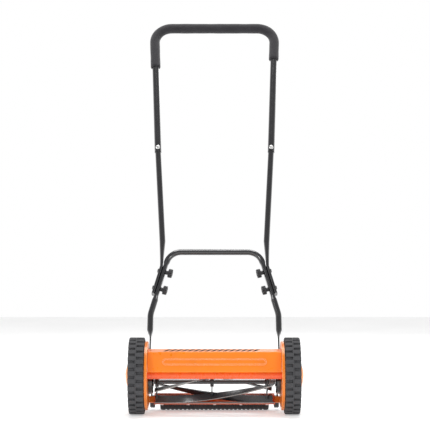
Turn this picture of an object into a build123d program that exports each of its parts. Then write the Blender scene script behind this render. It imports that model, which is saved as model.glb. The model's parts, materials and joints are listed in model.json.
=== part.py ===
from build123d import *
from math import atan, atan2, cos, degrees, radians, sin, sqrt
import os

# Reel mower. Millimetres. The origin is on the ground under the middle of the wheel axle line:
# +Z is up, the mower's front faces -Y, its handle leans back towards +Y, and X runs across it.
# "left" is the -X side and "right" the +X side.

os.makedirs("parts", exist_ok=True)

SIDES = {"left": -1, "right": 1}

# ---------------------------------------------------------------- driving dimensions

# Running and assembly gaps
RUNNING_FIT = 0.05
LOOSE_FIT = 0.2
SIDE_GAP = 0.3
KNIFE_GAP = 0.3

# Wheels and tyres; "in" and "out" are distances from the middle of the mower
WHEEL_RADIUS = 97.5
AXLE_Z = WHEEL_RADIUS
TYRE_IN = 178.0
TYRE_OUT = 217.0
TYRE_BORE = 86.0
TREAD_DEPTH = 5.0
TREAD_BLOCKS = 31
TREAD_GROOVE = 8.0
TREAD_RIB = 3.0
TREAD_SHOULDER = 3.0
TREAD_START = 177.7
RIM_WALL = 3.5
WEB_IN = 206.0
WEB_OUT = 209.0
RIM_IN = 179.5
RIM_OUT = 215.5
HUB_RADIUS = 14.0
HUB_IN = 179.0
HUB_OUT = 212.0
RIB_COUNT = 10
RIB_THICKNESS = 3.0
RIB_HEIGHT = 4.0

# Hub caps, each a shallow dome over the axle nut
CAP_RADIUS = 45.0
RIB_CLEARANCE = 1.5
RIB_ROOT = 1.0
CAP_EDGE = 212.0
CAP_TOP = 227.5
CAP_WALL = 2.0

# Stub axles
AXLE_RADIUS = 6.0
AXLE_END = 222.0
AXLE_CHAMFER = 1.0
AXLE_COLLAR_RADIUS = 13.0
AXLE_COLLAR_OUT = 177.0
WASHER_RADIUS = 12.0
WASHER_OUT = 214.0
AXLE_NUT_RADIUS = 11.0
AXLE_NUT_HEIGHT = 7.0

# Drive gears: an internal ring in each wheel turns a pinion on the reel shaft
GEAR_MODULE = 2.0
RING_TEETH = 48
PINION_TEETH = 12
PRESSURE_ANGLE = 20.0
RING_ADDENDUM = 1.0
RING_DEDENDUM = 2.5
PINION_ADDENDUM = 2.0
PINION_DEDENDUM = 1.5
TOOTH_RELIEF = 0.1
GEAR_IN = 184.0
GEAR_OUT = 196.0
RING_WALL_RADIUS = 58.0
RING_FACETS = 48

# Reel
REEL_Y = 31.3
GEAR_CENTRES = GEAR_MODULE * (RING_TEETH - PINION_TEETH) / 2
REEL_Z = AXLE_Z - sqrt(GEAR_CENTRES**2 - REEL_Y**2)
REEL_RADIUS = 53.5
REEL_LEFT = -152.6
REEL_RIGHT = 149.0
SHAFT_RADIUS = 6.0
SHAFT_END = 196.3
BLADE_COUNT = 5
BLADE_DEPTH = 18.5
BLADE_THICKNESS = 3.0
BLADE_TWIST = 90.0
BLADE_START = 276.0
BLADE_STATIONS = 9
DISC_RADIUS = 44.0
DISC_THICKNESS = 3.0
DISC_HUB_RADIUS = 13.0
DISC_HUB_WIDTH = 9.0
SCALLOP_RADIUS = 15.0
SCALLOP_BEYOND = 5.0
DISC_PLACES = {"left": -148.0, "middle": -6.4, "right": 134.5}
SPRING_WIRE = 2.0
SPRING_RADIUS = 8.6
SPRING_START = 140.0
SPRING_END = 154.0
SPRING_TURNS = 5

# Pawls, the keys that slide across the shaft ends and catch in the pinions
PAWL_WIDTH = 8.0
PAWL_THICKNESS = 2.9
PAWL_LENGTH = 12.0
PAWL_THROW = 1.5
PAWL_MIDDLE = 190.0
NOTCH_COUNT = 4
NOTCH_RADIUS = 8.2
RATCHET_BORE = 6.7
RATCHET_IN = 185.5
RATCHET_OUT = 194.5

# Reel bearings
HOUSING_IN = 157.0
HOUSING_RADIUS = 31.0
HOUSING_CHAMFER = 3.0
HOUSING_FACE_RADIUS = 27.0
BEARING_OUT_RADIUS = 16.0
BEARING_MID_RADIUS = 11.0
INNER_RACE_RADIUS = 10.6
BEARING_IN = 158.0
BEARING_OUT = 168.0
INNER_RACE_IN = 155.5

# Side plates
PLATE_IN = 169.5
PLATE_THICKNESS = 2.5
PLATE_RADIUS = 87.5
PLATE_RIM = 2.5
PLATE_RIM_OUT = 176.5
SHAFT_HOLE = 13.0
LOBE = [(28, 16), (80, 19), (92, 46), (116, 54), (116, 104), (66, 140), (0, 100)]
LOBE_CORNER = 8.0

# Deck cover, a folded sheet over the reel
SHEET = 1.5
DECK_HALF = 169.0
DECK_LINE = [(8.4, 158), (10, 165), (-45, 161), (-60, 111.5), (-56.5, 110.6)]
DECK_BEND = 3.0
BEAD_LENGTH = 262.0
BEAD_HEIGHT = 16.5
BEAD_WIDTH = 3.0
BEAD_RISE = 1.5
BEAD_DOWN = 25.5
TAB_IN = 166.5
TAB_OUTLINE = [(-45, 161), (-54, 131), (-20, 131), (6, 164.7)]
DECK_SCREWS = [(-38, 140), (-16, 146)]

# Front tie bar, a tube between the side plates
TIE_Y = -52.0
TIE_Z = 102.2
TIE_RADIUS = 8.85
TIE_WALL = 1.5
TIE_PLUG = 25.0

# Small screws in the frame
SCREW_RADIUS = 3.0
SCREW_HEAD_RADIUS = 5.5
SCREW_HEAD_HEIGHT = 3.5
SCREW_REACH = 14.0
DECK_NUT_HEIGHT = 5.0

# Bed knife and bed bar under and behind the reel
KNIFE_TOP = REEL_Z - REEL_RADIUS - KNIFE_GAP
KNIFE_THICKNESS = 2.5
KNIFE_FRONT = 33.0
KNIFE_BACK = 58.0
KNIFE_END_INSET = 3.0
KNIFE_CHAMFER = 1.5
BAR_HALF = 156.5
BAR_SHEET = 3.0
BAR_LINE = [(42, 0), (60, 0), (75, 20.5), (82, 22.5)]
BAR_BEND = 3.0
BAR_BOLT_X = 150.0
BAR_BOLT_ALONG = 12.5
BAR_TAB_IN = 141.0
BAR_TAB_HEIGHT = 18.0
BAR_HEAD_RADIUS = 6.5
BAR_HEAD_HEIGHT = 3.0
BAR_HEAD_TAPER = 35.0
BAR_NUT_HEIGHT = 5.0
KNIFE_SCREW_COUNT = 5
KNIFE_SCREW_PITCH = 68.0
KNIFE_SCREW_Y = 50.0
KNIFE_SCREW_RADIUS = 2.5
KNIFE_HEAD_RADIUS = 4.5
KNIFE_HEAD_HEIGHT = 2.0

# Rear roller and the brackets that set the cutting height
ROLLER_Y = 102.0
ROLLER_RADIUS = 22.0
ROLLER_HALF = 142.0
ROLLER_PITCH = 11.0
ROLLER_GROOVE = 1.8
ROLLER_END_ROUND = 5.0
ROLLER_GROOVE_WIDTH = 4.0
ROLLER_AXLE_RADIUS = 5.0
ROLLER_WELL_DEPTH = 100.0
ROLLER_HUB_RADIUS = 10.0
ROLLER_SHELL = 4.5
EYE_RADIUS = 16.5
EYE_IN = 155.0
EYE_OUT = 168.8
EYE_CHAMFER = 2.0
BRACKET_IN = 162.0
BRACKET_OUT = 166.0
BRACKET_HALF = 12.0
BRACKET_TOP = 94.0
PAD_OUT = 169.3
HEIGHT_BOLT_Z = 80.0
HEIGHT_BOLT_RADIUS = 4.0
HEIGHT_DOWN = 12.0
HEIGHT_UP = 8.0
HEIGHT_HEAD_RADIUS = 7.5
HEIGHT_HEAD_HEIGHT = 3.0

# Star knobs that clamp the brackets
STAR_RADIUS = 16.0
STAR_LOBES = 6
STAR_SCALLOP_RADIUS = 4.5
STAR_BODY = 12.0
STAR_NECK = 6.0
STAR_NECK_RADIUS = 8.0
STAR_SCALLOP_BEYOND = 2.0
STAR_FACE = 2.0
BOLT_SHORT = 1.0

# Handle. Its tubes lie in one plane that leans back from the point LEAN_Y, LEAN_Z;
# places in that plane are (x, s), with s measured up the lean.
LEAN = 28.0
LEAN_Y = 45.0
LEAN_Z = 112.0
PIVOT_S = 10.0
PIVOT_BOLT_RADIUS = 4.0
PIVOT_HEAD_RADIUS = 7.5
PIVOT_HEAD_HEIGHT = 4.0
PIVOT_NUT_OUT = 165.0
PIVOT_NUT_RADIUS = 8.0
PIVOT_NUT_HEIGHT = 6.5
TUBE_RADIUS = 8.0
TUBE_WALL = 1.2
LEG_X = 169.0
LEG_TAB_X = 167.2
LEG_TAB_THICKNESS = 3.9
LEG_TAB_WIDTH = 23.0
LEG_TAB_TOP = 84.5
LEG_ROUND_FROM = 110.0
LEG_LEAN = 14.5
LEG_BEND_S = 155.0
LEG_BEND_RADIUS = 60.0
LEG_SLOT_FROM = 208.0
LEG_SLOT_TO = 301.0
LEG_SLOT_THICKNESS = 11.5
LEG_SLOT_WIDTH = 19.0
LEG_BLEND = 10.0
CROSSBAR_S = 341.9
CROSSBAR_RADIUS = 40.0
STRIP_THICKNESS = 8.0
STRIP_WIDTH = 20.0
STRIP_FROM = 214.6
STRIP_TO = 296.0
MIDDLE_ROUND_FROM = 375.0
MIDDLE_TOP = 686.0
MIDDLE_SLOPE = 0.0616
JOINT_X = 159.8
JOINT_S = 673.0
HANDLE_BOLTS = {"lower": 231.0, "upper": 281.5}
UPPER_RADIUS = 9.5
UPPER_WALL = 1.1
UPPER_FROM = 662.0
UPPER_SLOPE = 0.0438
UPPER_TOP = 1096.0
UPPER_BEND = 50.0
GRIP_RADIUS = 14.2
GRIP_ENDS = {"left": 954.0, "right": 982.0}
BUTTON_RADIUS = 6.25
BUTTON_HEIGHT = 3.6
BUTTON_SHANK_RADIUS = 2.5
BUTTON_SOCKET_RADIUS = 2.4
BUTTON_DOME = 0.6 * BUTTON_HEIGHT
BUTTON_SEAT = 1.0

# Handle knobs and their bolts
KNOB_RADIUS = 12.0
KNOB_BODY = 10.7
KNOB_NECK = 6.7
KNOB_NECK_RADIUS = 5.5
KNOB_SCALLOPS = 8
KNOB_SCALLOP_RADIUS = 2.6
BOLT_RADIUS = 3.0
BOLT_HEAD_RADIUS = 7.0
BOLT_HEAD_HEIGHT = 3.0
BOLT_HEAD_TAPER = 30.0
KNOB_FACE = 3.0
KNOB_SCALLOP_BEYOND = 1.0


# ---------------------------------------------------------------- planes and shared shapes

WHEEL_AXIS = Axis((0, 0, AXLE_Z), (1, 0, 0))
REEL_AXIS = Axis((0, REEL_Y, REEL_Z), (1, 0, 0))
HANDLE = Plane(
    origin=(0, LEAN_Y, LEAN_Z),
    x_dir=(1, 0, 0),
    z_dir=(0, -cos(radians(LEAN)), sin(radians(LEAN))),
)


def across(x, y=0.0, z=0.0):
    """Plane square to X at x; its own axes are the mower's Y and Z, measured from y and z."""
    return Plane(origin=(x, y, z), x_dir=(0, 1, 0), z_dir=(1, 0, 0))


def turning(y, z):
    """Plane through the X-wise axis at y, z; its own axes are X and the radius."""
    return Plane(origin=(0, y, z), x_dir=(1, 0, 0), z_dir=(0, -1, 0))


def handle_vector(x, s):
    """Direction in the handle's plane as a vector of the mower."""
    return Vector(x, s * sin(radians(LEAN)), s * cos(radians(LEAN)))


def tube_plane(x, s, lean):
    """Plane across a handle tube at (x, s), for a tube that leans outwards by lean degrees."""
    turn = radians(lean)
    return Plane(
        origin=HANDLE.from_local_coords(Vector(x, s, 0)),
        x_dir=handle_vector(cos(turn), -sin(turn)),
        z_dir=handle_vector(sin(turn), cos(turn)),
    )


def leg_x(s):
    """Centre of the right lower leg, above its bend, at s."""
    return LEG_X - (s - LEG_BEND_S) * sin(radians(LEG_LEAN)) / cos(radians(LEG_LEAN))


def ring_section(u_in, u_out, r_in, r_out):
    """Rectangle of a turned ring, on a turning plane, from u_in to u_out and r_in to r_out."""
    with Locations(((u_in + u_out) / 2, (r_in + r_out) / 2)):
        Rectangle(abs(u_out - u_in), r_out - r_in)


def half_tooth(teeth, radius, relief):
    """Half of an involute tooth's angle at a radius, in degrees, made thinner by relief."""
    pitch_radius = GEAR_MODULE * teeth / 2
    base = pitch_radius * cos(radians(PRESSURE_ANGLE))
    at_pitch = sqrt((pitch_radius / base) ** 2 - 1)
    here = sqrt((max(radius, base) / base) ** 2 - 1)
    unwound = (at_pitch - atan(at_pitch)) - (here - atan(here))
    return 90 / teeth + degrees(unwound - relief / pitch_radius)


def tooth_outline(teeth, radii, relief, start):
    """Closed list of corners of a toothed outline, its first tooth at the start angle."""
    corners = []
    for tooth in range(teeth):
        middle = start + tooth * 360 / teeth
        rising = [(r, middle - half_tooth(teeth, r, relief)) for r in radii]
        falling = [(r, middle + half_tooth(teeth, r, relief)) for r in reversed(radii)]
        corners += rising + falling
    return [(r * cos(radians(a)), r * sin(radians(a))) for r, a in corners]


# ---------------------------------------------------------------- wheels

PINION_DIRECTION = degrees(atan2(REEL_Z - AXLE_Z, REEL_Y))
RING_PITCH_RADIUS = GEAR_MODULE * RING_TEETH / 2
PINION_PITCH_RADIUS = GEAR_MODULE * PINION_TEETH / 2
RING_FLANK = [
    RING_PITCH_RADIUS - RING_ADDENDUM,
    RING_PITCH_RADIUS,
    RING_PITCH_RADIUS + RING_DEDENDUM / 2,
    RING_PITCH_RADIUS + RING_DEDENDUM,
]
PINION_FLANK = [
    PINION_PITCH_RADIUS - PINION_DEDENDUM,
    PINION_PITCH_RADIUS * cos(radians(PRESSURE_ANGLE)),
    PINION_PITCH_RADIUS,
    PINION_PITCH_RADIUS + PINION_ADDENDUM / 2,
    PINION_PITCH_RADIUS + PINION_ADDENDUM,
]

for side, sign in SIDES.items():
    # Rubber tyre: a centre rib and two rows of tread blocks, set half a block apart
    tread_middle = (TYRE_IN + TYRE_OUT) / 2
    with BuildPart() as tyre:
        with BuildSketch(turning(0, AXLE_Z)) as tyre_section:
            ring_section(sign * TYRE_IN, sign * TYRE_OUT, TYRE_BORE, WHEEL_RADIUS)
            fillet(tyre_section.vertices().group_by(Axis.Y)[-1], TREAD_SHOULDER)
        revolve(axis=WHEEL_AXIS)
        rows = {
            tread_middle + TREAD_RIB / 2: (TYRE_OUT, TREAD_START),
            tread_middle - TREAD_RIB / 2: (TYRE_IN, TREAD_START + 180 / TREAD_BLOCKS),
        }
        for rib_edge, (face, first) in rows.items():
            with BuildSketch(across(sign * rib_edge, 0, AXLE_Z)):
                with PolarLocations(WHEEL_RADIUS, TREAD_BLOCKS, start_angle=first):
                    Rectangle(2 * TREAD_DEPTH, TREAD_GROOVE)
            extrude(amount=sign * (face - rib_edge), mode=Mode.SUBTRACT)
    tyre.part.label = f"tyre_{side}"
    export_step(tyre.part, f"parts/tyre_{side}.step")

    # Plastic wheel: rim, closed web and hub, with ribs on the outer face
    with BuildPart() as wheel:
        with BuildSketch(turning(0, AXLE_Z)):
            ring_section(sign * RIM_IN, sign * RIM_OUT, TYRE_BORE - RIM_WALL, TYRE_BORE)
            ring_section(sign * WEB_IN, sign * WEB_OUT, AXLE_RADIUS + RUNNING_FIT, TYRE_BORE - RIM_WALL)
            ring_section(sign * HUB_IN, sign * HUB_OUT, AXLE_RADIUS + RUNNING_FIT, HUB_RADIUS)
        revolve(axis=WHEEL_AXIS)
        rib_from = CAP_RADIUS + RIB_CLEARANCE
        rib_to = TYRE_BORE - RIM_WALL + RIB_ROOT
        with BuildSketch(across(sign * WEB_OUT, 0, AXLE_Z)):
            with PolarLocations((rib_from + rib_to) / 2, RIB_COUNT):
                Rectangle(rib_to - rib_from, RIB_THICKNESS)
        extrude(amount=sign * RIB_HEIGHT)
    wheel.part.label = f"wheel_{side}"
    export_step(wheel.part, f"parts/wheel_{side}.step")

    # Internal ring gear, moulded with the drum that carries it on the web
    with BuildPart() as drive_ring:
        with BuildSketch(across(sign * GEAR_IN, 0, AXLE_Z)):
            RegularPolygon(RING_WALL_RADIUS, RING_FACETS)
            with BuildLine():
                Polyline(*tooth_outline(RING_TEETH, RING_FLANK, -TOOTH_RELIEF, PINION_DIRECTION), close=True)
            make_face(mode=Mode.SUBTRACT)
        extrude(amount=sign * (GEAR_OUT - GEAR_IN))
        with BuildSketch(across(sign * GEAR_OUT, 0, AXLE_Z)):
            RegularPolygon(RING_WALL_RADIUS, RING_FACETS)
            RegularPolygon(RING_WALL_RADIUS - RIM_WALL, RING_FACETS, mode=Mode.SUBTRACT)
        extrude(amount=sign * (WEB_IN - GEAR_OUT))
    drive_ring.part.label = f"drive_ring_{side}"
    export_step(drive_ring.part, f"parts/drive_ring_{side}.step")

    # Hub cap: a shallow dome of even wall, with a skirt that seats on the web
    with BuildPart() as hub_cap:
        with BuildSketch(turning(0, AXLE_Z)):
            for inset, mode in ((0, Mode.ADD), (CAP_WALL, Mode.SUBTRACT)):
                radius = CAP_RADIUS - inset
                top = CAP_TOP - inset
                rise = top - CAP_EDGE
                bow = (radius**2 + rise**2) / (2 * rise)
                middle = top - bow + sqrt(bow**2 - (radius / 2) ** 2)
                with BuildLine():
                    dome = ThreePointArc(
                        (sign * CAP_EDGE, radius),
                        (sign * middle, radius / 2),
                        (sign * top, 0),
                    )
                    Polyline(dome @ 1, (sign * WEB_OUT, 0), (sign * WEB_OUT, radius), dome @ 0)
                make_face(mode=mode)
        revolve(axis=WHEEL_AXIS)
    hub_cap.part.label = f"hub_cap_{side}"
    export_step(hub_cap.part, f"parts/hub_cap_{side}.step")

    # Stub axle, riveted into the side plate against its collar
    with BuildPart() as stub_axle:
        with BuildSketch(turning(0, AXLE_Z)):
            ring_section(sign * PLATE_IN, sign * AXLE_END, 0, AXLE_RADIUS)
            ring_section(sign * (PLATE_IN + PLATE_THICKNESS), sign * AXLE_COLLAR_OUT, 0, AXLE_COLLAR_RADIUS)
        revolve(axis=WHEEL_AXIS)
        chamfer(stub_axle.edges().sort_by_distance((sign * AXLE_END, 0, AXLE_Z))[0], AXLE_CHAMFER)
    stub_axle.part.label = f"stub_axle_{side}"
    export_step(stub_axle.part, f"parts/stub_axle_{side}.step")

# Washers and nuts that hold the wheels on their axles, one of each at either side
with BuildPart() as axle_washers:
    for sign in SIDES.values():
        with BuildSketch(turning(0, AXLE_Z)):
            ring_section(sign * (HUB_OUT + SIDE_GAP), sign * WASHER_OUT, AXLE_RADIUS, WASHER_RADIUS)
        revolve(axis=WHEEL_AXIS)
axle_washers.part.label = "axle_washers"
export_step(axle_washers.part, "parts/axle_washers.step")

with BuildPart() as axle_nuts:
    for sign in SIDES.values():
        with BuildSketch(across(sign * WASHER_OUT, 0, AXLE_Z)):
            RegularPolygon(AXLE_NUT_RADIUS, 6)
            Circle(AXLE_RADIUS, mode=Mode.SUBTRACT)
        extrude(amount=sign * AXLE_NUT_HEIGHT)
axle_nuts.part.label = "axle_nuts"
export_step(axle_nuts.part, "parts/axle_nuts.step")


# ---------------------------------------------------------------- reel

# Blades: flat strips wound round the shaft, lofted through turned sections
blade_parts = []
for number in range(BLADE_COUNT):
    with BuildPart() as reel_blade:
        for station in range(BLADE_STATIONS):
            share = station / (BLADE_STATIONS - 1)
            angle = radians(BLADE_START - BLADE_TWIST * share + number * 360 / BLADE_COUNT)
            section = Plane(
                origin=(REEL_LEFT + share * (REEL_RIGHT - REEL_LEFT), REEL_Y, REEL_Z),
                x_dir=(0, cos(angle), sin(angle)),
                z_dir=(1, 0, 0),
            )
            with BuildSketch(section):
                with Locations((REEL_RADIUS - BLADE_DEPTH / 2, 0)):
                    Rectangle(BLADE_DEPTH, BLADE_THICKNESS)
        loft()
    reel_blade.part.label = f"reel_blade_{number + 1}"
    export_step(reel_blade.part, f"parts/reel_blade_{number + 1}.step")
    blade_parts.append(reel_blade.part)

# Discs that carry the blades: a hub, a scalloped plate and a notch for each blade
for place, disc_x in DISC_PLACES.items():
    share = (disc_x - REEL_LEFT) / (REEL_RIGHT - REEL_LEFT)
    blade_angle = BLADE_START - BLADE_TWIST * share
    with BuildPart() as reel_disc:
        with BuildSketch(across(disc_x - DISC_THICKNESS / 2, REEL_Y, REEL_Z)):
            Circle(DISC_RADIUS)
            with PolarLocations(DISC_RADIUS + SCALLOP_BEYOND, BLADE_COUNT, start_angle=blade_angle + 180 / BLADE_COUNT):
                Circle(SCALLOP_RADIUS, mode=Mode.SUBTRACT)
        extrude(amount=DISC_THICKNESS)
        with BuildSketch(across(disc_x - DISC_HUB_WIDTH / 2, REEL_Y, REEL_Z)):
            Circle(DISC_HUB_RADIUS)
        extrude(amount=DISC_HUB_WIDTH)
        with BuildSketch(across(disc_x - DISC_HUB_WIDTH / 2, REEL_Y, REEL_Z)):
            Circle(SHAFT_RADIUS)
        extrude(amount=DISC_HUB_WIDTH, mode=Mode.SUBTRACT)
        add(blade_parts, mode=Mode.SUBTRACT)
    reel_disc.part.label = f"reel_disc_{place}"
    export_step(reel_disc.part, f"parts/reel_disc_{place}.step")

# Shaft, with a cross slot near each end for its pawl
with BuildPart() as reel_shaft:
    with BuildSketch(across(-SHAFT_END, REEL_Y, REEL_Z)):
        Circle(SHAFT_RADIUS)
    extrude(amount=2 * SHAFT_END)
    for sign in SIDES.values():
        with BuildSketch(across(sign * PAWL_MIDDLE - PAWL_WIDTH / 2, REEL_Y, REEL_Z)):
            Rectangle(3 * SHAFT_RADIUS, PAWL_THICKNESS)
        extrude(amount=PAWL_WIDTH, mode=Mode.SUBTRACT)
reel_shaft.part.label = "reel_shaft"
export_step(reel_shaft.part, "parts/reel_shaft.step")

# Pawls: the left one is thrown out into its pinion's notch, the right one is centred
with BuildPart() as drive_pawls:
    for sign, throw in ((-1, PAWL_THROW), (1, 0)):
        with BuildSketch(across(sign * PAWL_MIDDLE - PAWL_WIDTH / 2, REEL_Y, REEL_Z)):
            with Locations((throw, 0)):
                Rectangle(PAWL_LENGTH, PAWL_THICKNESS)
        extrude(amount=PAWL_WIDTH)
drive_pawls.part.label = "drive_pawls"
export_step(drive_pawls.part, "parts/drive_pawls.step")

# Pinions: they run on the shaft ends and carry ratchet notches inside
for side, sign in SIDES.items():
    with BuildPart() as pinion:
        with BuildSketch(across(sign * GEAR_IN, REEL_Y, REEL_Z)):
            with BuildLine():
                Polyline(
                    *tooth_outline(PINION_TEETH, PINION_FLANK, TOOTH_RELIEF, PINION_DIRECTION),
                    close=True,
                )
            make_face()
            Circle(SHAFT_RADIUS + RUNNING_FIT, mode=Mode.SUBTRACT)
        extrude(amount=sign * (GEAR_OUT - GEAR_IN))
        with BuildSketch(across(sign * RATCHET_IN, REEL_Y, REEL_Z)):
            Circle(RATCHET_BORE)
            with PolarLocations(NOTCH_RADIUS / 2, NOTCH_COUNT):
                Rectangle(NOTCH_RADIUS, PAWL_THICKNESS + 2 * LOOSE_FIT)
        extrude(amount=sign * (RATCHET_OUT - RATCHET_IN), mode=Mode.SUBTRACT)
    pinion.part.label = f"pinion_{side}"
    export_step(pinion.part, f"parts/pinion_{side}.step")

# Coil spring that loads the right-hand bearing
with BuildPart() as reel_spring:
    spring_length = SPRING_END - SPRING_START
    with BuildLine():
        coil = Helix(
            spring_length / SPRING_TURNS,
            spring_length,
            SPRING_RADIUS,
            center=(SPRING_START, REEL_Y, REEL_Z),
            direction=(1, 0, 0),
        )
    with BuildSketch(Plane(origin=coil @ 0, z_dir=coil % 0)):
        Circle(SPRING_WIRE / 2)
    sweep(is_frenet=True)
reel_spring.part.label = "reel_spring"
export_step(reel_spring.part, "parts/reel_spring.step")

# Bearings: housings on the side plates, with the races of a sealed ball bearing in each
with BuildPart() as bearing_outer_races:
    for sign in SIDES.values():
        with BuildSketch(turning(REEL_Y, REEL_Z)):
            ring_section(sign * BEARING_IN, sign * BEARING_OUT, BEARING_MID_RADIUS, BEARING_OUT_RADIUS)
        revolve(axis=REEL_AXIS)
bearing_outer_races.part.label = "bearing_outer_races"
export_step(bearing_outer_races.part, "parts/bearing_outer_races.step")

with BuildPart() as bearing_inner_races:
    for sign in SIDES.values():
        with BuildSketch(turning(REEL_Y, REEL_Z)):
            ring_section(sign * INNER_RACE_IN, sign * BEARING_OUT, SHAFT_RADIUS, INNER_RACE_RADIUS)
        revolve(axis=REEL_AXIS)
bearing_inner_races.part.label = "bearing_inner_races"
export_step(bearing_inner_races.part, "parts/bearing_inner_races.step")

for side, sign in SIDES.items():
    with BuildPart() as bearing_housing:
        with BuildSketch(turning(REEL_Y, REEL_Z)):
            with BuildLine():
                Polyline(
                    (sign * HOUSING_IN, BEARING_OUT_RADIUS),
                    (sign * HOUSING_IN, HOUSING_FACE_RADIUS),
                    (sign * (HOUSING_IN + HOUSING_CHAMFER), HOUSING_RADIUS),
                    (sign * PLATE_IN, HOUSING_RADIUS),
                    (sign * PLATE_IN, BEARING_OUT_RADIUS),
                    close=True,
                )
            make_face()
        revolve(axis=REEL_AXIS)
    bearing_housing.part.label = f"bearing_housing_{side}"
    export_step(bearing_housing.part, f"parts/bearing_housing_{side}.step")


# ---------------------------------------------------------------- side plates

HANDLE_PIVOT = HANDLE.from_local_coords(Vector(0, PIVOT_S, 0))
BAR_Z = KNIFE_TOP - KNIFE_THICKNESS - BAR_SHEET / 2
BAR_SLOPE = degrees(atan2(BAR_LINE[2][1] - BAR_LINE[1][1], BAR_LINE[2][0] - BAR_LINE[1][0]))


def bar_face(x, off=0.0):
    """Plane on the bed bar's sloped middle line at x, moved off along its upward normal."""
    slope = radians(BAR_SLOPE)
    along = BAR_BOLT_ALONG
    return Plane(
        origin=(
            x,
            BAR_LINE[1][0] + along * cos(slope) - off * sin(slope),
            BAR_Z + BAR_LINE[1][1] + along * sin(slope) + off * cos(slope),
        ),
        x_dir=(1, 0, 0),
        z_dir=(0, -sin(slope), cos(slope)),
    )


for side, sign in SIDES.items():
    with BuildPart() as side_plate:
        with BuildSketch(across(sign * PLATE_IN)) as plate_outline:
            with BuildLine():
                Polyline(*LOBE, close=True)
            make_face()
            fillet(plate_outline.vertices(), LOBE_CORNER)
            with Locations((0, AXLE_Z)):
                Circle(PLATE_RADIUS)
        extrude(amount=sign * PLATE_THICKNESS)
        with BuildSketch(across(sign * (PLATE_IN + PLATE_THICKNESS))):
            with Locations((0, AXLE_Z)):
                Circle(PLATE_RADIUS)
                Circle(PLATE_RADIUS - PLATE_RIM, mode=Mode.SUBTRACT)
        extrude(amount=sign * (PLATE_RIM_OUT - PLATE_IN - PLATE_THICKNESS))
        # The tab behind the bed bar, bent in from the plate
        with BuildSketch(bar_face(sign * (BAR_TAB_IN + PLATE_IN) / 2, -BAR_SHEET / 2)):
            Rectangle(PLATE_IN - BAR_TAB_IN, BAR_TAB_HEIGHT)
        extrude(amount=-PLATE_THICKNESS)
        with BuildSketch(across(sign * PLATE_IN)):
            with Locations((0, AXLE_Z)):
                Circle(AXLE_RADIUS)
            with Locations((REEL_Y, REEL_Z)):
                Circle(SHAFT_HOLE)
            with Locations((HANDLE_PIVOT.Y, HANDLE_PIVOT.Z)):
                Circle(PIVOT_BOLT_RADIUS)
            with Locations(*DECK_SCREWS, (TIE_Y, TIE_Z)):
                Circle(SCREW_RADIUS)
            with Locations((ROLLER_Y, HEIGHT_BOLT_Z + (HEIGHT_UP - HEIGHT_DOWN) / 2)):
                slot_length = HEIGHT_UP + HEIGHT_DOWN + 2 * (HEIGHT_BOLT_RADIUS + SIDE_GAP)
                SlotOverall(slot_length, 2 * (HEIGHT_BOLT_RADIUS + SIDE_GAP), rotation=90)
        extrude(amount=sign * PLATE_THICKNESS, mode=Mode.SUBTRACT)
        with BuildSketch(bar_face(sign * BAR_BOLT_X, -BAR_SHEET / 2)):
            Circle(SCREW_RADIUS)
        extrude(amount=-PLATE_THICKNESS, mode=Mode.SUBTRACT)
    side_plate.part.label = f"side_plate_{side}"
    export_step(side_plate.part, f"parts/side_plate_{side}.step")


# ---------------------------------------------------------------- deck cover and tie bar

fascia_top = DECK_LINE[2]
fascia_foot = DECK_LINE[3]
fascia_length = sqrt((fascia_top[0] - fascia_foot[0]) ** 2 + (fascia_top[1] - fascia_foot[1]) ** 2)
fascia_down = (
    (fascia_foot[0] - fascia_top[0]) / fascia_length,
    (fascia_foot[1] - fascia_top[1]) / fascia_length,
)
bead_origin = (
    0,
    fascia_top[0] + BEAD_DOWN * fascia_down[0] + SHEET / 2 * fascia_down[1],
    fascia_top[1] + BEAD_DOWN * fascia_down[1] - SHEET / 2 * fascia_down[0],
)
BEAD_PLANE = Plane(origin=bead_origin, x_dir=(1, 0, 0), z_dir=(0, fascia_down[1], -fascia_down[0]))

with BuildPart() as deck_cover:
    with BuildSketch(across(-DECK_HALF)):
        with BuildLine():
            FilletPolyline(*DECK_LINE, radius=DECK_BEND)
        trace(line_width=SHEET)
    extrude(amount=2 * DECK_HALF)
    # Raised bead round the front face
    with BuildSketch(BEAD_PLANE):
        SlotOverall(BEAD_LENGTH, BEAD_HEIGHT)
        SlotOverall(BEAD_LENGTH - 2 * BEAD_WIDTH, BEAD_HEIGHT - 2 * BEAD_WIDTH, mode=Mode.SUBTRACT)
    extrude(amount=BEAD_RISE)
    # End tabs that the frame screws hold to the side plates
    for sign in SIDES.values():
        with BuildSketch(across(sign * TAB_IN)):
            with BuildLine():
                Polyline(*TAB_OUTLINE, close=True)
            make_face()
            with Locations(*DECK_SCREWS):
                Circle(SCREW_RADIUS + LOOSE_FIT, mode=Mode.SUBTRACT)
        extrude(amount=sign * (DECK_HALF - TAB_IN))
deck_cover.part.label = "deck_cover"
export_step(deck_cover.part, "parts/deck_cover.step")

with BuildPart() as front_tie_bar:
    with BuildSketch(turning(TIE_Y, TIE_Z)):
        with BuildLine():
            Polyline(
                (-PLATE_IN, SCREW_RADIUS),
                (-PLATE_IN, TIE_RADIUS),
                (PLATE_IN, TIE_RADIUS),
                (PLATE_IN, SCREW_RADIUS),
                (PLATE_IN - TIE_PLUG, SCREW_RADIUS),
                (PLATE_IN - TIE_PLUG, TIE_RADIUS - TIE_WALL),
                (TIE_PLUG - PLATE_IN, TIE_RADIUS - TIE_WALL),
                (TIE_PLUG - PLATE_IN, SCREW_RADIUS),
                close=True,
            )
        make_face()
    revolve(axis=Axis((0, TIE_Y, TIE_Z), (1, 0, 0)))
front_tie_bar.part.label = "front_tie_bar"
export_step(front_tie_bar.part, "parts/front_tie_bar.step")

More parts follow.
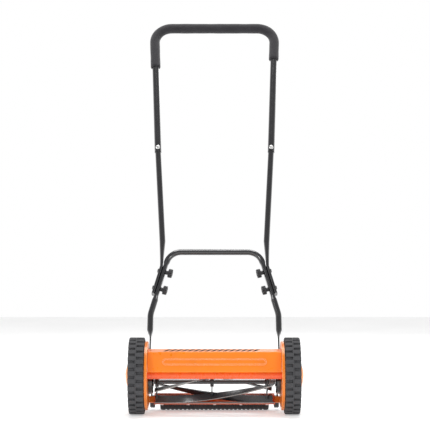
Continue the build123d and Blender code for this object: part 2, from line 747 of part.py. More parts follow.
# Pan-head screws through the side plates into the tie bar and the deck tabs
with BuildPart() as frame_screws:
    for sign in SIDES.values():
        head_from = PLATE_IN + PLATE_THICKNESS
        with BuildSketch(across(sign * head_from)):
            with Locations(*DECK_SCREWS, (TIE_Y, TIE_Z)):
                Circle(SCREW_HEAD_RADIUS)
        extrude(amount=sign * SCREW_HEAD_HEIGHT)
        with BuildSketch(across(sign * head_from)):
            with Locations(*DECK_SCREWS, (TIE_Y, TIE_Z)):
                Circle(SCREW_RADIUS)
        extrude(amount=-sign * SCREW_REACH)
        with BuildSketch(across(sign * (head_from + SCREW_HEAD_HEIGHT))):
            with Locations(*DECK_SCREWS, (TIE_Y, TIE_Z)):
                RegularPolygon(SCREW_HEAD_RADIUS / 2, 6)
        extrude(amount=-sign * SCREW_HEAD_HEIGHT / 2, mode=Mode.SUBTRACT)
frame_screws.part.label = "frame_screws"
export_step(frame_screws.part, "parts/frame_screws.step")

with BuildPart() as deck_nuts:
    for sign in SIDES.values():
        with BuildSketch(across(sign * TAB_IN)):
            with Locations(*DECK_SCREWS):
                RegularPolygon(SCREW_HEAD_RADIUS, 6)
                Circle(SCREW_RADIUS, mode=Mode.SUBTRACT)
        extrude(amount=-sign * DECK_NUT_HEIGHT)
deck_nuts.part.label = "deck_nuts"
export_step(deck_nuts.part, "parts/deck_nuts.step")


# ---------------------------------------------------------------- bed bar and knife

with BuildPart() as bed_bar:
    with BuildSketch(across(-BAR_HALF, 0, BAR_Z)):
        with BuildLine():
            FilletPolyline(*BAR_LINE, radius=BAR_BEND)
        trace(line_width=BAR_SHEET)
    extrude(amount=2 * BAR_HALF)
    with BuildSketch(Plane.XY.offset(BAR_Z - BAR_SHEET)):
        with Locations((0, KNIFE_SCREW_Y)):
            with GridLocations(KNIFE_SCREW_PITCH, 1, KNIFE_SCREW_COUNT, 1):
                Circle(KNIFE_SCREW_RADIUS)
    extrude(amount=2 * BAR_SHEET, mode=Mode.SUBTRACT)
    for sign in SIDES.values():
        with BuildSketch(bar_face(sign * BAR_BOLT_X, BAR_SHEET)):
            Circle(SCREW_RADIUS)
        extrude(amount=-2 * BAR_SHEET, mode=Mode.SUBTRACT)
bed_bar.part.label = "bed_bar"
export_step(bed_bar.part, "parts/bed_bar.step")

with BuildPart() as bed_knife:
    with BuildSketch(Plane.XY.offset(KNIFE_TOP - KNIFE_THICKNESS)):
        with Locations((0, (KNIFE_FRONT + KNIFE_BACK) / 2)):
            Rectangle(2 * (BAR_HALF - KNIFE_END_INSET), KNIFE_BACK - KNIFE_FRONT)
        with Locations((0, KNIFE_SCREW_Y)):
            with GridLocations(KNIFE_SCREW_PITCH, 1, KNIFE_SCREW_COUNT, 1):
                Circle(KNIFE_SCREW_RADIUS, mode=Mode.SUBTRACT)
    extrude(amount=KNIFE_THICKNESS)
    front_foot = bed_knife.edges().filter_by(Axis.X).group_by(Axis.Z)[0].sort_by(Axis.Y)[0]
    chamfer(front_foot, KNIFE_CHAMFER)
bed_knife.part.label = "bed_knife"
export_step(bed_knife.part, "parts/bed_knife.step")

with BuildPart() as bed_knife_screws:
    foot = BAR_Z - BAR_SHEET / 2
    for radius, start, height in (
        (KNIFE_SCREW_RADIUS, foot, BAR_SHEET + KNIFE_THICKNESS - LOOSE_FIT),
        (KNIFE_HEAD_RADIUS, foot - KNIFE_HEAD_HEIGHT, KNIFE_HEAD_HEIGHT),
    ):
        with BuildSketch(Plane.XY.offset(start)):
            with Locations((0, KNIFE_SCREW_Y)):
                with GridLocations(KNIFE_SCREW_PITCH, 1, KNIFE_SCREW_COUNT, 1):
                    Circle(radius)
        extrude(amount=height)
bed_knife_screws.part.label = "bed_knife_screws"
export_step(bed_knife_screws.part, "parts/bed_knife_screws.step")

# Round-headed bolts through the bed bar and the side plates' tabs, with their nuts
with BuildPart() as bed_bar_bolts:
    for sign in SIDES.values():
        with BuildSketch(bar_face(sign * BAR_BOLT_X, BAR_SHEET / 2)):
            Circle(BAR_HEAD_RADIUS)
        extrude(amount=BAR_HEAD_HEIGHT, taper=BAR_HEAD_TAPER)
        with BuildSketch(bar_face(sign * BAR_BOLT_X, BAR_SHEET / 2)):
            Circle(SCREW_RADIUS)
        extrude(amount=-(BAR_SHEET + PLATE_THICKNESS + BAR_NUT_HEIGHT + 1))
bed_bar_bolts.part.label = "bed_bar_bolts"
export_step(bed_bar_bolts.part, "parts/bed_bar_bolts.step")

with BuildPart() as bed_bar_nuts:
    for sign in SIDES.values():
        with BuildSketch(bar_face(sign * BAR_BOLT_X, -BAR_SHEET / 2 - PLATE_THICKNESS)):
            RegularPolygon(SCREW_HEAD_RADIUS, 6)
            Circle(SCREW_RADIUS, mode=Mode.SUBTRACT)
        extrude(amount=-BAR_NUT_HEIGHT)
bed_bar_nuts.part.label = "bed_bar_nuts"
export_step(bed_bar_nuts.part, "parts/bed_bar_nuts.step")


# ---------------------------------------------------------------- rear roller

ROLLER_AXIS = Axis((0, ROLLER_Y, ROLLER_RADIUS), (1, 0, 0))
GROOVE_COUNT = int(2 * ROLLER_HALF / ROLLER_PITCH) - 1

# Ribbed roller, open at the ends round its hub
with BuildPart() as roller:
    with BuildSketch(turning(ROLLER_Y, ROLLER_RADIUS)) as roller_section:
        ring_section(-ROLLER_HALF, ROLLER_HALF, ROLLER_AXLE_RADIUS + RUNNING_FIT, ROLLER_RADIUS)
        fillet(roller_section.vertices().group_by(Axis.Y)[-1], ROLLER_END_ROUND)
        with Locations((0, ROLLER_RADIUS)):
            with GridLocations(ROLLER_PITCH, 1, GROOVE_COUNT, 1):
                Rectangle(ROLLER_GROOVE_WIDTH, 2 * ROLLER_GROOVE, mode=Mode.SUBTRACT)
    revolve(axis=ROLLER_AXIS)
    for sign in SIDES.values():
        with BuildSketch(across(sign * ROLLER_HALF, ROLLER_Y, ROLLER_RADIUS)):
            Circle(ROLLER_RADIUS - ROLLER_SHELL)
            Circle(ROLLER_HUB_RADIUS, mode=Mode.SUBTRACT)
        extrude(amount=-sign * ROLLER_WELL_DEPTH, mode=Mode.SUBTRACT)
roller.part.label = "roller"
export_step(roller.part, "parts/roller.step")

with BuildPart() as roller_axle:
    with BuildSketch(across(-EYE_OUT, ROLLER_Y, ROLLER_RADIUS)):
        Circle(ROLLER_AXLE_RADIUS)
    extrude(amount=2 * EYE_OUT)
roller_axle.part.label = "roller_axle"
export_step(roller_axle.part, "parts/roller_axle.step")

# Brackets: an eye round the roller axle, an arm, and a pad that slides on the side plate
for side, sign in SIDES.items():
    with BuildPart() as roller_bracket:
        with BuildSketch(across(sign * EYE_IN, ROLLER_Y, ROLLER_RADIUS)):
            Circle(EYE_RADIUS)
        extrude(amount=sign * (EYE_OUT - EYE_IN))
        chamfer(roller_bracket.edges().filter_by(GeomType.CIRCLE), EYE_CHAMFER)
        with BuildSketch(across(sign * BRACKET_IN, ROLLER_Y, 0)):
            with Locations((0, (ROLLER_RADIUS + BRACKET_TOP) / 2)):
                Rectangle(2 * BRACKET_HALF, BRACKET_TOP - ROLLER_RADIUS)
        extrude(amount=sign * (BRACKET_OUT - BRACKET_IN))
        with BuildSketch(across(sign * BRACKET_OUT, ROLLER_Y, HEIGHT_BOLT_Z)):
            Rectangle(2 * BRACKET_HALF, 2 * (BRACKET_TOP - HEIGHT_BOLT_Z))
        extrude(amount=sign * (PAD_OUT - BRACKET_OUT))
        with BuildSketch(across(sign * EYE_IN, ROLLER_Y, 0)):
            with Locations((0, HEIGHT_BOLT_Z)):
                Circle(HEIGHT_BOLT_RADIUS)
            with Locations((0, ROLLER_RADIUS)):
                Circle(ROLLER_AXLE_RADIUS)
        extrude(amount=sign * (PAD_OUT - EYE_IN), mode=Mode.SUBTRACT)
    roller_bracket.part.label = f"roller_bracket_{side}"
    export_step(roller_bracket.part, f"parts/roller_bracket_{side}.step")

# Flat-headed bolts that ride in the side plates' slots and carry the star knobs
with BuildPart() as height_bolts:
    head_from = PLATE_IN + PLATE_THICKNESS + LOOSE_FIT
    for sign in SIDES.values():
        with BuildSketch(across(sign * head_from, ROLLER_Y, HEIGHT_BOLT_Z)):
            Circle(HEIGHT_HEAD_RADIUS)
        extrude(amount=sign * HEIGHT_HEAD_HEIGHT)
        with BuildSketch(across(sign * head_from, ROLLER_Y, HEIGHT_BOLT_Z)):
            Circle(HEIGHT_BOLT_RADIUS)
        extrude(amount=-sign * (head_from - BRACKET_IN + STAR_NECK + STAR_BODY - STAR_FACE - BOLT_SHORT))
height_bolts.part.label = "height_bolts"
export_step(height_bolts.part, "parts/height_bolts.step")

for side, sign in SIDES.items():
    with BuildPart() as height_knob:
        neck_from = BRACKET_IN - LOOSE_FIT
        with BuildSketch(across(sign * neck_from, ROLLER_Y, HEIGHT_BOLT_Z)):
            Circle(STAR_NECK_RADIUS)
        extrude(amount=-sign * STAR_NECK)
        with BuildSketch(across(sign * (neck_from - STAR_NECK), ROLLER_Y, HEIGHT_BOLT_Z)):
            Circle(STAR_RADIUS)
            with PolarLocations(STAR_RADIUS + STAR_SCALLOP_BEYOND, STAR_LOBES):
                Circle(STAR_SCALLOP_RADIUS, mode=Mode.SUBTRACT)
        extrude(amount=-sign * STAR_BODY)
        with BuildSketch(across(sign * neck_from, ROLLER_Y, HEIGHT_BOLT_Z)):
            Circle(HEIGHT_BOLT_RADIUS + RUNNING_FIT)
        extrude(amount=-sign * (STAR_NECK + STAR_BODY - STAR_FACE), mode=Mode.SUBTRACT)
    height_knob.part.label = f"height_knob_{side}"
    export_step(height_knob.part, f"parts/height_knob_{side}.step")


# ---------------------------------------------------------------- handle


def pressed_section(width, thickness, inset):
    """Flattened section of a tube, made smaller by inset, its flats facing in and out."""
    SlotOverall(width - 2 * inset, thickness - 2 * inset, rotation=90)


# Lower handle: an inverted U whose legs are pressed where the middle tubes bolt on and end in flat tabs
with BuildPart() as lower_handle:
    for inset, mode in ((0, Mode.ADD), (TUBE_WALL, Mode.SUBTRACT)):
        # Crossbar and corner
        with BuildLine(HANDLE):
            FilletPolyline(
                (0, CROSSBAR_S),
                (leg_x(CROSSBAR_S), CROSSBAR_S),
                (leg_x(LEG_SLOT_TO + LEG_BLEND), LEG_SLOT_TO + LEG_BLEND),
                radius=CROSSBAR_RADIUS,
            )
        with BuildSketch(Plane(origin=HANDLE.from_local_coords(Vector(0, CROSSBAR_S, 0)), z_dir=(1, 0, 0))):
            Circle(TUBE_RADIUS - inset)
        sweep(mode=mode)
        # Pressed stretch and the blends at its two ends
        upper_end = LEG_SLOT_TO + LEG_BLEND
        lower_end = LEG_SLOT_FROM - LEG_BLEND
        with BuildSketch(tube_plane(leg_x(upper_end), upper_end, -LEG_LEAN)):
            Circle(TUBE_RADIUS - inset)
        with BuildSketch(tube_plane(leg_x(LEG_SLOT_TO), LEG_SLOT_TO, -LEG_LEAN)):
            pressed_section(LEG_SLOT_WIDTH, LEG_SLOT_THICKNESS, inset)
        loft(mode=mode)
        with BuildSketch(tube_plane(leg_x(LEG_SLOT_TO), LEG_SLOT_TO, -LEG_LEAN)):
            pressed_section(LEG_SLOT_WIDTH, LEG_SLOT_THICKNESS, inset)
        extrude(amount=-(LEG_SLOT_TO - LEG_SLOT_FROM) / cos(radians(LEG_LEAN)), mode=mode)
        with BuildSketch(tube_plane(leg_x(LEG_SLOT_FROM), LEG_SLOT_FROM, -LEG_LEAN)):
            pressed_section(LEG_SLOT_WIDTH, LEG_SLOT_THICKNESS, inset)
        with BuildSketch(tube_plane(leg_x(lower_end), lower_end, -LEG_LEAN)):
            Circle(TUBE_RADIUS - inset)
        loft(mode=mode)
        # Round stretch with its bend
        with BuildLine(HANDLE):
            FilletPolyline(
                (leg_x(lower_end), lower_end),
                (LEG_X, LEG_BEND_S),
                (LEG_X, LEG_ROUND_FROM),
                radius=LEG_BEND_RADIUS,
            )
        with BuildSketch(tube_plane(leg_x(lower_end), lower_end, -LEG_LEAN)):
            Circle(TUBE_RADIUS - inset)
        sweep(mode=mode)
        # Flattening into the tab
        with BuildSketch(tube_plane(LEG_X, LEG_ROUND_FROM, 0)):
            Circle(TUBE_RADIUS - inset)
        with BuildSketch(tube_plane(LEG_TAB_X, LEG_TAB_TOP, 0)):
            pressed_section(LEG_TAB_WIDTH, LEG_TAB_THICKNESS, inset)
        loft(mode=mode)
    with BuildSketch(Plane(origin=(LEG_TAB_X - LEG_TAB_THICKNESS / 2, LEAN_Y, LEAN_Z),
                           x_dir=handle_vector(0, 1), z_dir=(1, 0, 0))):
        with Locations(((PIVOT_S + LEG_TAB_TOP) / 2, 0)):
            Rectangle(LEG_TAB_TOP - PIVOT_S, LEG_TAB_WIDTH)
        with Locations((PIVOT_S, 0)):
            Circle(LEG_TAB_WIDTH / 2)
            Circle(PIVOT_BOLT_RADIUS + RUNNING_FIT, mode=Mode.SUBTRACT)
    extrude(amount=LEG_TAB_THICKNESS)
    for bolt_s in HANDLE_BOLTS.values():
        with BuildSketch(Plane(origin=HANDLE.from_local_coords(Vector(leg_x(bolt_s), bolt_s, 0)),
                               z_dir=handle_vector(cos(radians(LEG_LEAN)), sin(radians(LEG_LEAN))))):
            Circle(BOLT_RADIUS)
        extrude(amount=TUBE_RADIUS + 1, both=True, mode=Mode.SUBTRACT)
    mirror(about=Plane.YZ)
lower_handle.part.label = "lower_handle"
export_step(lower_handle.part, "parts/lower_handle.step")


def middle_x(s):
    """Centre of the right middle tube at s, above its flattened end."""
    return JOINT_X + MIDDLE_SLOPE * (s - JOINT_S)


def strip_x(s):
    """Centre of the right middle tube's flattened end at s, lying against the lower leg."""
    return leg_x(s) + (LEG_SLOT_THICKNESS + STRIP_THICKNESS) / 2 / cos(radians(LEG_LEAN))


MIDDLE_LEAN = degrees(atan(MIDDLE_SLOPE))
UPPER_LEAN = degrees(atan(UPPER_SLOPE))


def clamp_plane(sign, s, off):
    """Plane square to a clamp bolt, off along its outward axis from the lower leg's middle."""
    outward = handle_vector(sign * cos(radians(LEG_LEAN)), sin(radians(LEG_LEAN)))
    middle = HANDLE.from_local_coords(Vector(sign * leg_x(s), s, 0))
    return Plane(origin=middle + outward * off, z_dir=outward)


def middle_plane(sign, s):
    """Plane square to a middle tube's round part at s."""
    return tube_plane(sign * middle_x(s), s, sign * MIDDLE_LEAN)


# Middle tubes: flattened where they bolt to the lower handle, round above, plugged into the upper handle
for side, sign in SIDES.items():
    with BuildPart() as middle_tube:
        for inset, mode in ((0, Mode.ADD), (TUBE_WALL, Mode.SUBTRACT)):
            foot = STRIP_FROM + 3 * inset
            with BuildSketch(tube_plane(sign * strip_x(foot), foot, -sign * LEG_LEAN)):
                pressed_section(STRIP_WIDTH, STRIP_THICKNESS, inset)
            extrude(amount=(STRIP_TO - foot) / cos(radians(LEG_LEAN)), mode=mode)
            with BuildSketch(tube_plane(sign * strip_x(STRIP_TO), STRIP_TO, -sign * LEG_LEAN)):
                pressed_section(STRIP_WIDTH, STRIP_THICKNESS, inset)
            with BuildSketch(middle_plane(sign, MIDDLE_ROUND_FROM)):
                Circle(TUBE_RADIUS - inset)
            loft(mode=mode)
            with BuildSketch(middle_plane(sign, MIDDLE_ROUND_FROM)):
                Circle(TUBE_RADIUS - inset)
            extrude(amount=(MIDDLE_TOP - MIDDLE_ROUND_FROM) / cos(radians(MIDDLE_LEAN)), mode=mode)
        for bolt_s in HANDLE_BOLTS.values():
            with BuildSketch(clamp_plane(sign, bolt_s, 0)):
                Circle(BOLT_RADIUS)
            extrude(amount=LEG_SLOT_THICKNESS + STRIP_THICKNESS, mode=Mode.SUBTRACT)
        with BuildSketch(HANDLE.offset(-UPPER_RADIUS)):
            with Locations((sign * JOINT_X, JOINT_S)):
                Circle(BUTTON_SHANK_RADIUS)
        extrude(amount=2 * UPPER_RADIUS, mode=Mode.SUBTRACT)
    middle_tube.part.label = f"middle_tube_{side}"
    export_step(middle_tube.part, f"parts/middle_tube_{side}.step")

# Upper handle: a wide inverted U of 19 mm tube
UPPER_CORNER_X = JOINT_X + UPPER_SLOPE * (UPPER_TOP - JOINT_S)


def upper_x(s):
    """Centre of the right upper tube at s, below its corner."""
    return UPPER_CORNER_X - UPPER_SLOPE * (UPPER_TOP - s)


def upper_path(left_s, right_s):
    """Path of the upper tube from left_s over the top to right_s, in the handle's plane."""
    FilletPolyline(
        (-upper_x(left_s), left_s),
        (-UPPER_CORNER_X, UPPER_TOP),
        (UPPER_CORNER_X, UPPER_TOP),
        (upper_x(right_s), right_s),
        radius=UPPER_BEND,
    )


with BuildPart() as upper_handle:
    with BuildLine(HANDLE):
        upper_path(UPPER_FROM, UPPER_FROM)
    with BuildSketch(tube_plane(-upper_x(UPPER_FROM), UPPER_FROM, -UPPER_LEAN)):
        Circle(UPPER_RADIUS)
        Circle(UPPER_RADIUS - UPPER_WALL, mode=Mode.SUBTRACT)
    sweep()
    with BuildSketch(HANDLE.offset(-2 * UPPER_RADIUS)):
        with Locations((-JOINT_X, JOINT_S), (JOINT_X, JOINT_S)):
            Circle(BUTTON_SHANK_RADIUS)
    extrude(amount=4 * UPPER_RADIUS, mode=Mode.SUBTRACT)
upper_handle.part.label = "upper_handle"
export_step(upper_handle.part, "parts/upper_handle.step")

with BuildPart() as foam_grip:
    with BuildLine(HANDLE):
        upper_path(GRIP_ENDS["left"], GRIP_ENDS["right"])
    with BuildSketch(tube_plane(-upper_x(GRIP_ENDS["left"]), GRIP_ENDS["left"], -UPPER_LEAN)):
        Circle(GRIP_RADIUS)
        Circle(UPPER_RADIUS, mode=Mode.SUBTRACT)
    sweep()
foam_grip.part.label = "foam_grip"
export_step(foam_grip.part, "parts/foam_grip.step")

# Domed screws on the handle's front face, where the upper and middle tubes join
with BuildPart() as joint_screws:
    with BuildSketch(HANDLE.offset(UPPER_RADIUS - BUTTON_SEAT)):
        with Locations((-JOINT_X, JOINT_S), (JOINT_X, JOINT_S)):
            Circle(BUTTON_RADIUS)
    extrude(amount=BUTTON_HEIGHT)
    fillet(joint_screws.edges().group_by(Axis((0, 0, 0), HANDLE.z_dir))[-1], BUTTON_DOME)
    with BuildSketch(HANDLE.offset(UPPER_RADIUS - BUTTON_SEAT)):
        with Locations((-JOINT_X, JOINT_S), (JOINT_X, JOINT_S)):
            Circle(BUTTON_SHANK_RADIUS)
    extrude(amount=-2 * UPPER_RADIUS)
    with BuildSketch(HANDLE.offset(UPPER_RADIUS - BUTTON_SEAT + BUTTON_HEIGHT)):
        with Locations((-JOINT_X, JOINT_S), (JOINT_X, JOINT_S)):
            RegularPolygon(BUTTON_SOCKET_RADIUS, 6)
    extrude(amount=-BUTTON_DOME, mode=Mode.SUBTRACT)
    add(upper_handle.part, mode=Mode.SUBTRACT)
joint_screws.part.label = "joint_screws"
export_step(joint_screws.part, "parts/joint_screws.step")

# Bolts through the strips and legs, with a round head outside
bolt_out = LEG_SLOT_THICKNESS / 2 + STRIP_THICKNESS
neck_from = LEG_SLOT_THICKNESS / 2 + LOOSE_FIT
bolt_in = neck_from + KNOB_NECK + KNOB_BODY - KNOB_FACE - BOLT_SHORT
with BuildPart() as handle_bolts:
    for sign in SIDES.values():
        for bolt_s in HANDLE_BOLTS.values():
            with BuildSketch(clamp_plane(sign, bolt_s, bolt_out)):
                Circle(BOLT_HEAD_RADIUS)
            extrude(amount=BOLT_HEAD_HEIGHT, taper=BOLT_HEAD_TAPER)
            with BuildSketch(clamp_plane(sign, bolt_s, bolt_out)):
                Circle(BOLT_RADIUS)
            extrude(amount=-(bolt_out + bolt_in))
handle_bolts.part.label = "handle_bolts"
export_step(handle_bolts.part, "parts/handle_bolts.step")

# Scalloped knobs on the inner ends of those bolts
for side, sign in SIDES.items():
    for level, bolt_s in HANDLE_BOLTS.items():
        with BuildPart() as handle_knob:
            with BuildSketch(clamp_plane(sign, bolt_s, -neck_from)):
                Circle(KNOB_NECK_RADIUS)
            extrude(amount=-KNOB_NECK)
            with BuildSketch(clamp_plane(sign, bolt_s, -neck_from - KNOB_NECK)):
                Circle(KNOB_RADIUS)
                with PolarLocations(KNOB_RADIUS + KNOB_SCALLOP_BEYOND, KNOB_SCALLOPS):
                    Circle(KNOB_SCALLOP_RADIUS, mode=Mode.SUBTRACT)
            extrude(amount=-KNOB_BODY)
            with BuildSketch(clamp_plane(sign, bolt_s, -neck_from)):
                Circle(BOLT_RADIUS + RUNNING_FIT)
            extrude(amount=-(KNOB_NECK + KNOB_BODY - KNOB_FACE), mode=Mode.SUBTRACT)
        handle_knob.part.label = f"handle_knob_{side}_{level}"
        export_step(handle_knob.part, f"parts/handle_knob_{side}_{level}.step")

# Pivot bolts: fixed in the side plates, with the handle's tabs turning on them
with BuildPart() as pivot_bolts:
    head_from = PLATE_IN + PLATE_THICKNESS
    for sign in SIDES.values():
        with BuildSketch(across(sign * head_from, HANDLE_PIVOT.Y, HANDLE_PIVOT.Z)):
            Circle(PIVOT_HEAD_RADIUS)
        extrude(amount=sign * PIVOT_HEAD_HEIGHT)
        with BuildSketch(across(sign * head_from, HANDLE_PIVOT.Y, HANDLE_PIVOT.Z)):
            Circle(PIVOT_BOLT_RADIUS)
        extrude(amount=-sign * (head_from - PIVOT_NUT_OUT + PIVOT_NUT_HEIGHT + 1))
pivot_bolts.part.label = "pivot_bolts"
export_step(pivot_bolts.part, "parts/pivot_bolts.step")

with BuildPart() as pivot_nuts:
    for sign in SIDES.values():
        with BuildSketch(across(sign * PIVOT_NUT_OUT, HANDLE_PIVOT.Y, HANDLE_PIVOT.Z)):
            RegularPolygon(PIVOT_NUT_RADIUS, 6)
            Circle(PIVOT_BOLT_RADIUS, mode=Mode.SUBTRACT)
        extrude(amount=-sign * PIVOT_NUT_HEIGHT)
pivot_nuts.part.label = "pivot_nuts"
export_step(pivot_nuts.part, "parts/pivot_nuts.step")
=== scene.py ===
"""Looks of a hand-pushed reel mower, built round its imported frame.

Everything is in metres in the mower's own frame: the origin is on the ground under the wheel
axle line, +Z is up, the front faces -Y, the handle leans back to +Y and X runs across. The axes
of the joints are read from the frame. The classes below hold the sizes of the pieces that they
shape, and the finishes that the frame leaves plain.
"""

import json
import logging
import math
from dataclasses import dataclass
from enum import Enum

import bmesh
import bpy
from mathutils import Matrix, Vector


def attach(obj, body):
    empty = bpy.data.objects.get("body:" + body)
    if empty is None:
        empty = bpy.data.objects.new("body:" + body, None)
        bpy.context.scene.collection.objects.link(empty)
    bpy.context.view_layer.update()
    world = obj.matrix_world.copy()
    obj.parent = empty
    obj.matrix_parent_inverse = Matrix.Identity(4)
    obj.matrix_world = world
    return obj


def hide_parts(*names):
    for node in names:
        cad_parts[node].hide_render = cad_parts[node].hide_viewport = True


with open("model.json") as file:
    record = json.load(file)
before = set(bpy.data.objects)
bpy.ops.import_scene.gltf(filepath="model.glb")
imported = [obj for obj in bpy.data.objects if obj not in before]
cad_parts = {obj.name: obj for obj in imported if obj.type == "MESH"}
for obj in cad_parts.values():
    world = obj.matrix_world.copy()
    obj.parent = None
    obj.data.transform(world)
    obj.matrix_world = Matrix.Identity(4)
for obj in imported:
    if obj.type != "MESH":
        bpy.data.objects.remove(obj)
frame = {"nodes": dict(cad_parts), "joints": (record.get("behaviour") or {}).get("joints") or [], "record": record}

LOG = logging.getLogger("reel_mower")
MM = 0.001
SIDES = {"left": -1.0, "right": 1.0}
HANDLE_KNOB_SEAT = 5.95 * MM  # from a handle knob's joint to the foot of its neck
HEIGHT_KNOB_SEAT = 161.8 * MM  # from the mower's middle to the foot of a height knob's neck
PLANE_DROP = 10.0 * MM  # from the pivots down to where distances up the handle start
JOINTS = {joint["name"]: joint for joint in frame["joints"]}

Colour = tuple[float, float, float]
Socket = bpy.types.NodeSocket

# ------------------------------------------------------------------ places read from the frame


@dataclass(frozen=True)
class Places:
    """Where the mower's axes and faces are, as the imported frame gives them."""

    axle: Vector
    reel: Vector
    roller: Vector
    pivot: Vector

    @classmethod
    def from_frame(cls) -> "Places":
        """Read the axes of the joints.

        Returns:
            The places, each in the middle of the mower.
        """

        def at(name: str) -> Vector:
            """Centre line of a joint, moved to the middle of the mower."""
            place = Vector(JOINTS[name]["pos_m"])
            return Vector((0.0, place.y, place.z))

        return cls(at("wheel_left_spin"), at("reel_spin"), at("roller_spin"), at("handle_pivot"))


# ------------------------------------------------------------------ finishes


def shade(colour: Colour, gain: float, lift: float = 0.0) -> Colour:
    """Scale a colour and lift it, held at full white."""
    return tuple(min(1.0, c * gain + lift) for c in colour)


class Wiring:
    """A material's node tree, with short ways to add nodes and join them."""

    def __init__(self, name: str) -> None:
        """Start a material with a Principled shader.

        Args:
            name: The material's name.
        """
        self.material = bpy.data.materials.new(name)
        self.material.use_nodes = True
        self.tree = self.material.node_tree
        self.tree.nodes.clear()
        self.output = self.add("ShaderNodeOutputMaterial")
        self.shader = self.add("ShaderNodeBsdfPrincipled")
        self.join(self.shader.outputs["BSDF"], self.output.inputs["Surface"])
        self.place = self.add("ShaderNodeTexCoord").outputs["Object"]

    def add(self, kind: str, **values: object) -> bpy.types.Node:
        """Add a node.

        Args:
            kind: The node's type name.
            values: Socket values and node attributes, by name with underscores for spaces.

        Returns:
            The new node.
        """
        node = self.tree.nodes.new(kind)
        for key, value in values.items():
            socket = node.inputs.get(key.replace("_", " "))
            if socket is not None:
                socket.default_value = value
            else:
                setattr(node, key, value)
        return node

    def join(self, source: Socket, target: Socket) -> None:
        """Link one socket to another."""
        self.tree.links.new(source, target)

    def noise(self, scale: float, detail: float = 4.0, stretch: Vector | None = None) -> Socket:
        """Noise over the piece.

        Args:
            scale: Cells to the metre.
            detail: Octaves of the noise.
            stretch: Extra scale along each axis, for brushed or rolled marks.

        Returns:
            The noise's value socket.
        """
        noise = self.add("ShaderNodeTexNoise", Scale=scale, Detail=detail)
        place = self.place
        if stretch is not None:
            mapping = self.add("ShaderNodeMapping")
            mapping.inputs["Scale"].default_value = stretch
            self.join(place, mapping.inputs["Vector"])
            place = mapping.outputs["Vector"]
        self.join(place, noise.inputs["Vector"])
        return noise.outputs["Fac"]

    def spread(
        self, value: Socket, low: float, high: float, start: float = 0.3, end: float = 0.7
    ) -> Socket:
        """Map a value from start..end to low..high, held at both ends.

        Args:
            value: The socket to map.
            low: What start becomes.
            high: What end becomes.
            start: Lower end of the value's range.
            end: Upper end of the value's range.

        Returns:
            The mapped socket.
        """
        span = self.add("ShaderNodeMapRange", clamp=True)
        self.join(value, span.inputs["Value"])
        ends = {"From Min": start, "From Max": end, "To Min": low, "To Max": high}
        for socket, number in ends.items():
            span.inputs[socket].default_value = number
        return span.outputs["Result"]

    def mix(self, share: Socket, first: Colour | Socket, second: Colour | Socket) -> Socket:
        """Blend two colours.

        Args:
            share: How much of the second shows.
            first: The colour at share 0.
            second: The colour at share 1.

        Returns:
            The blended colour's socket.
        """
        blend = self.add("ShaderNodeMix", data_type="RGBA")
        self.join(share, blend.inputs["Factor"])
        for name, colour in (("A", first), ("B", second)):
            target = next(s for s in blend.inputs if s.name == name and s.type == "RGBA")
            if isinstance(colour, Socket):
                self.join(colour, target)
            else:
                target.default_value = (*colour, 1.0)
        return next(s for s in blend.outputs if s.type == "RGBA")

    def maths(self, operation: str, *values: float | Socket) -> Socket:
        """Work out a number from sockets or constants.

        Args:
            operation: A Math node operation.
            values: Up to three numbers or sockets.

        Returns:
            The result's socket.
        """
        node = self.add("ShaderNodeMath", operation=operation)
        for socket, value in zip(node.inputs, values):
            if isinstance(value, Socket):
                self.join(value, socket)
            else:
                socket.default_value = value
        return node.outputs[0]

    def edges(self, radius: float) -> Socket:
        """Find edges, for wear, dust and painted highlights along them.

        Args:
            radius: How far from an edge the mask reaches, in metres.

        Returns:
            A value of 1 on edges and 0 on flats.
        """
        bevel = self.add("ShaderNodeBevel", samples=4, Radius=radius)
        normal = self.add("ShaderNodeNewGeometry").outputs["Normal"]
        dot = self.add("ShaderNodeVectorMath", operation="DOT_PRODUCT")
        self.join(bevel.outputs["Normal"], dot.inputs[0])
        self.join(normal, dot.inputs[1])
        return self.spread(dot.outputs["Value"], 1.0, 0.0, 0.93, 0.995)

    def bump(
        self, height: Socket, distance: float, strength: float = 1.0, soften: float = 0.0
    ) -> None:
        """Give the shader a bumped normal.

        Args:
            height: The height's socket, from 0 to 1.
            distance: How high 1 stands, in metres.
            strength: How strongly it shows.
            soften: Radius of the rounding given to sharp edges, in metres.
        """
        bump = self.add("ShaderNodeBump", Strength=strength, Distance=distance)
        self.join(height, bump.inputs["Height"])
        if soften > 0.0:
            bevel = self.add("ShaderNodeBevel", samples=4, Radius=soften)
            self.join(bevel.outputs["Normal"], bump.inputs["Normal"])
        self.join(bump.outputs["Normal"], self.shader.inputs["Normal"])


@dataclass(frozen=True)
class Finish:
    """One surface finish: its name, colour and how it is made."""

    name: str
    colour: Colour

    def made(self) -> bpy.types.Material:
        """Give the finish's material, making it the first time.

        Returns:
            The material.
        """
        known = bpy.data.materials.get(self.name)
        if known is not None:
            return known
        wiring = Wiring(self.name)
        self.wire(wiring)
        return wiring.material

    def wire(self, wiring: Wiring) -> None:
        """Set up the material's nodes.

        Args:
            wiring: The new material.
        """
        raise NotImplementedError


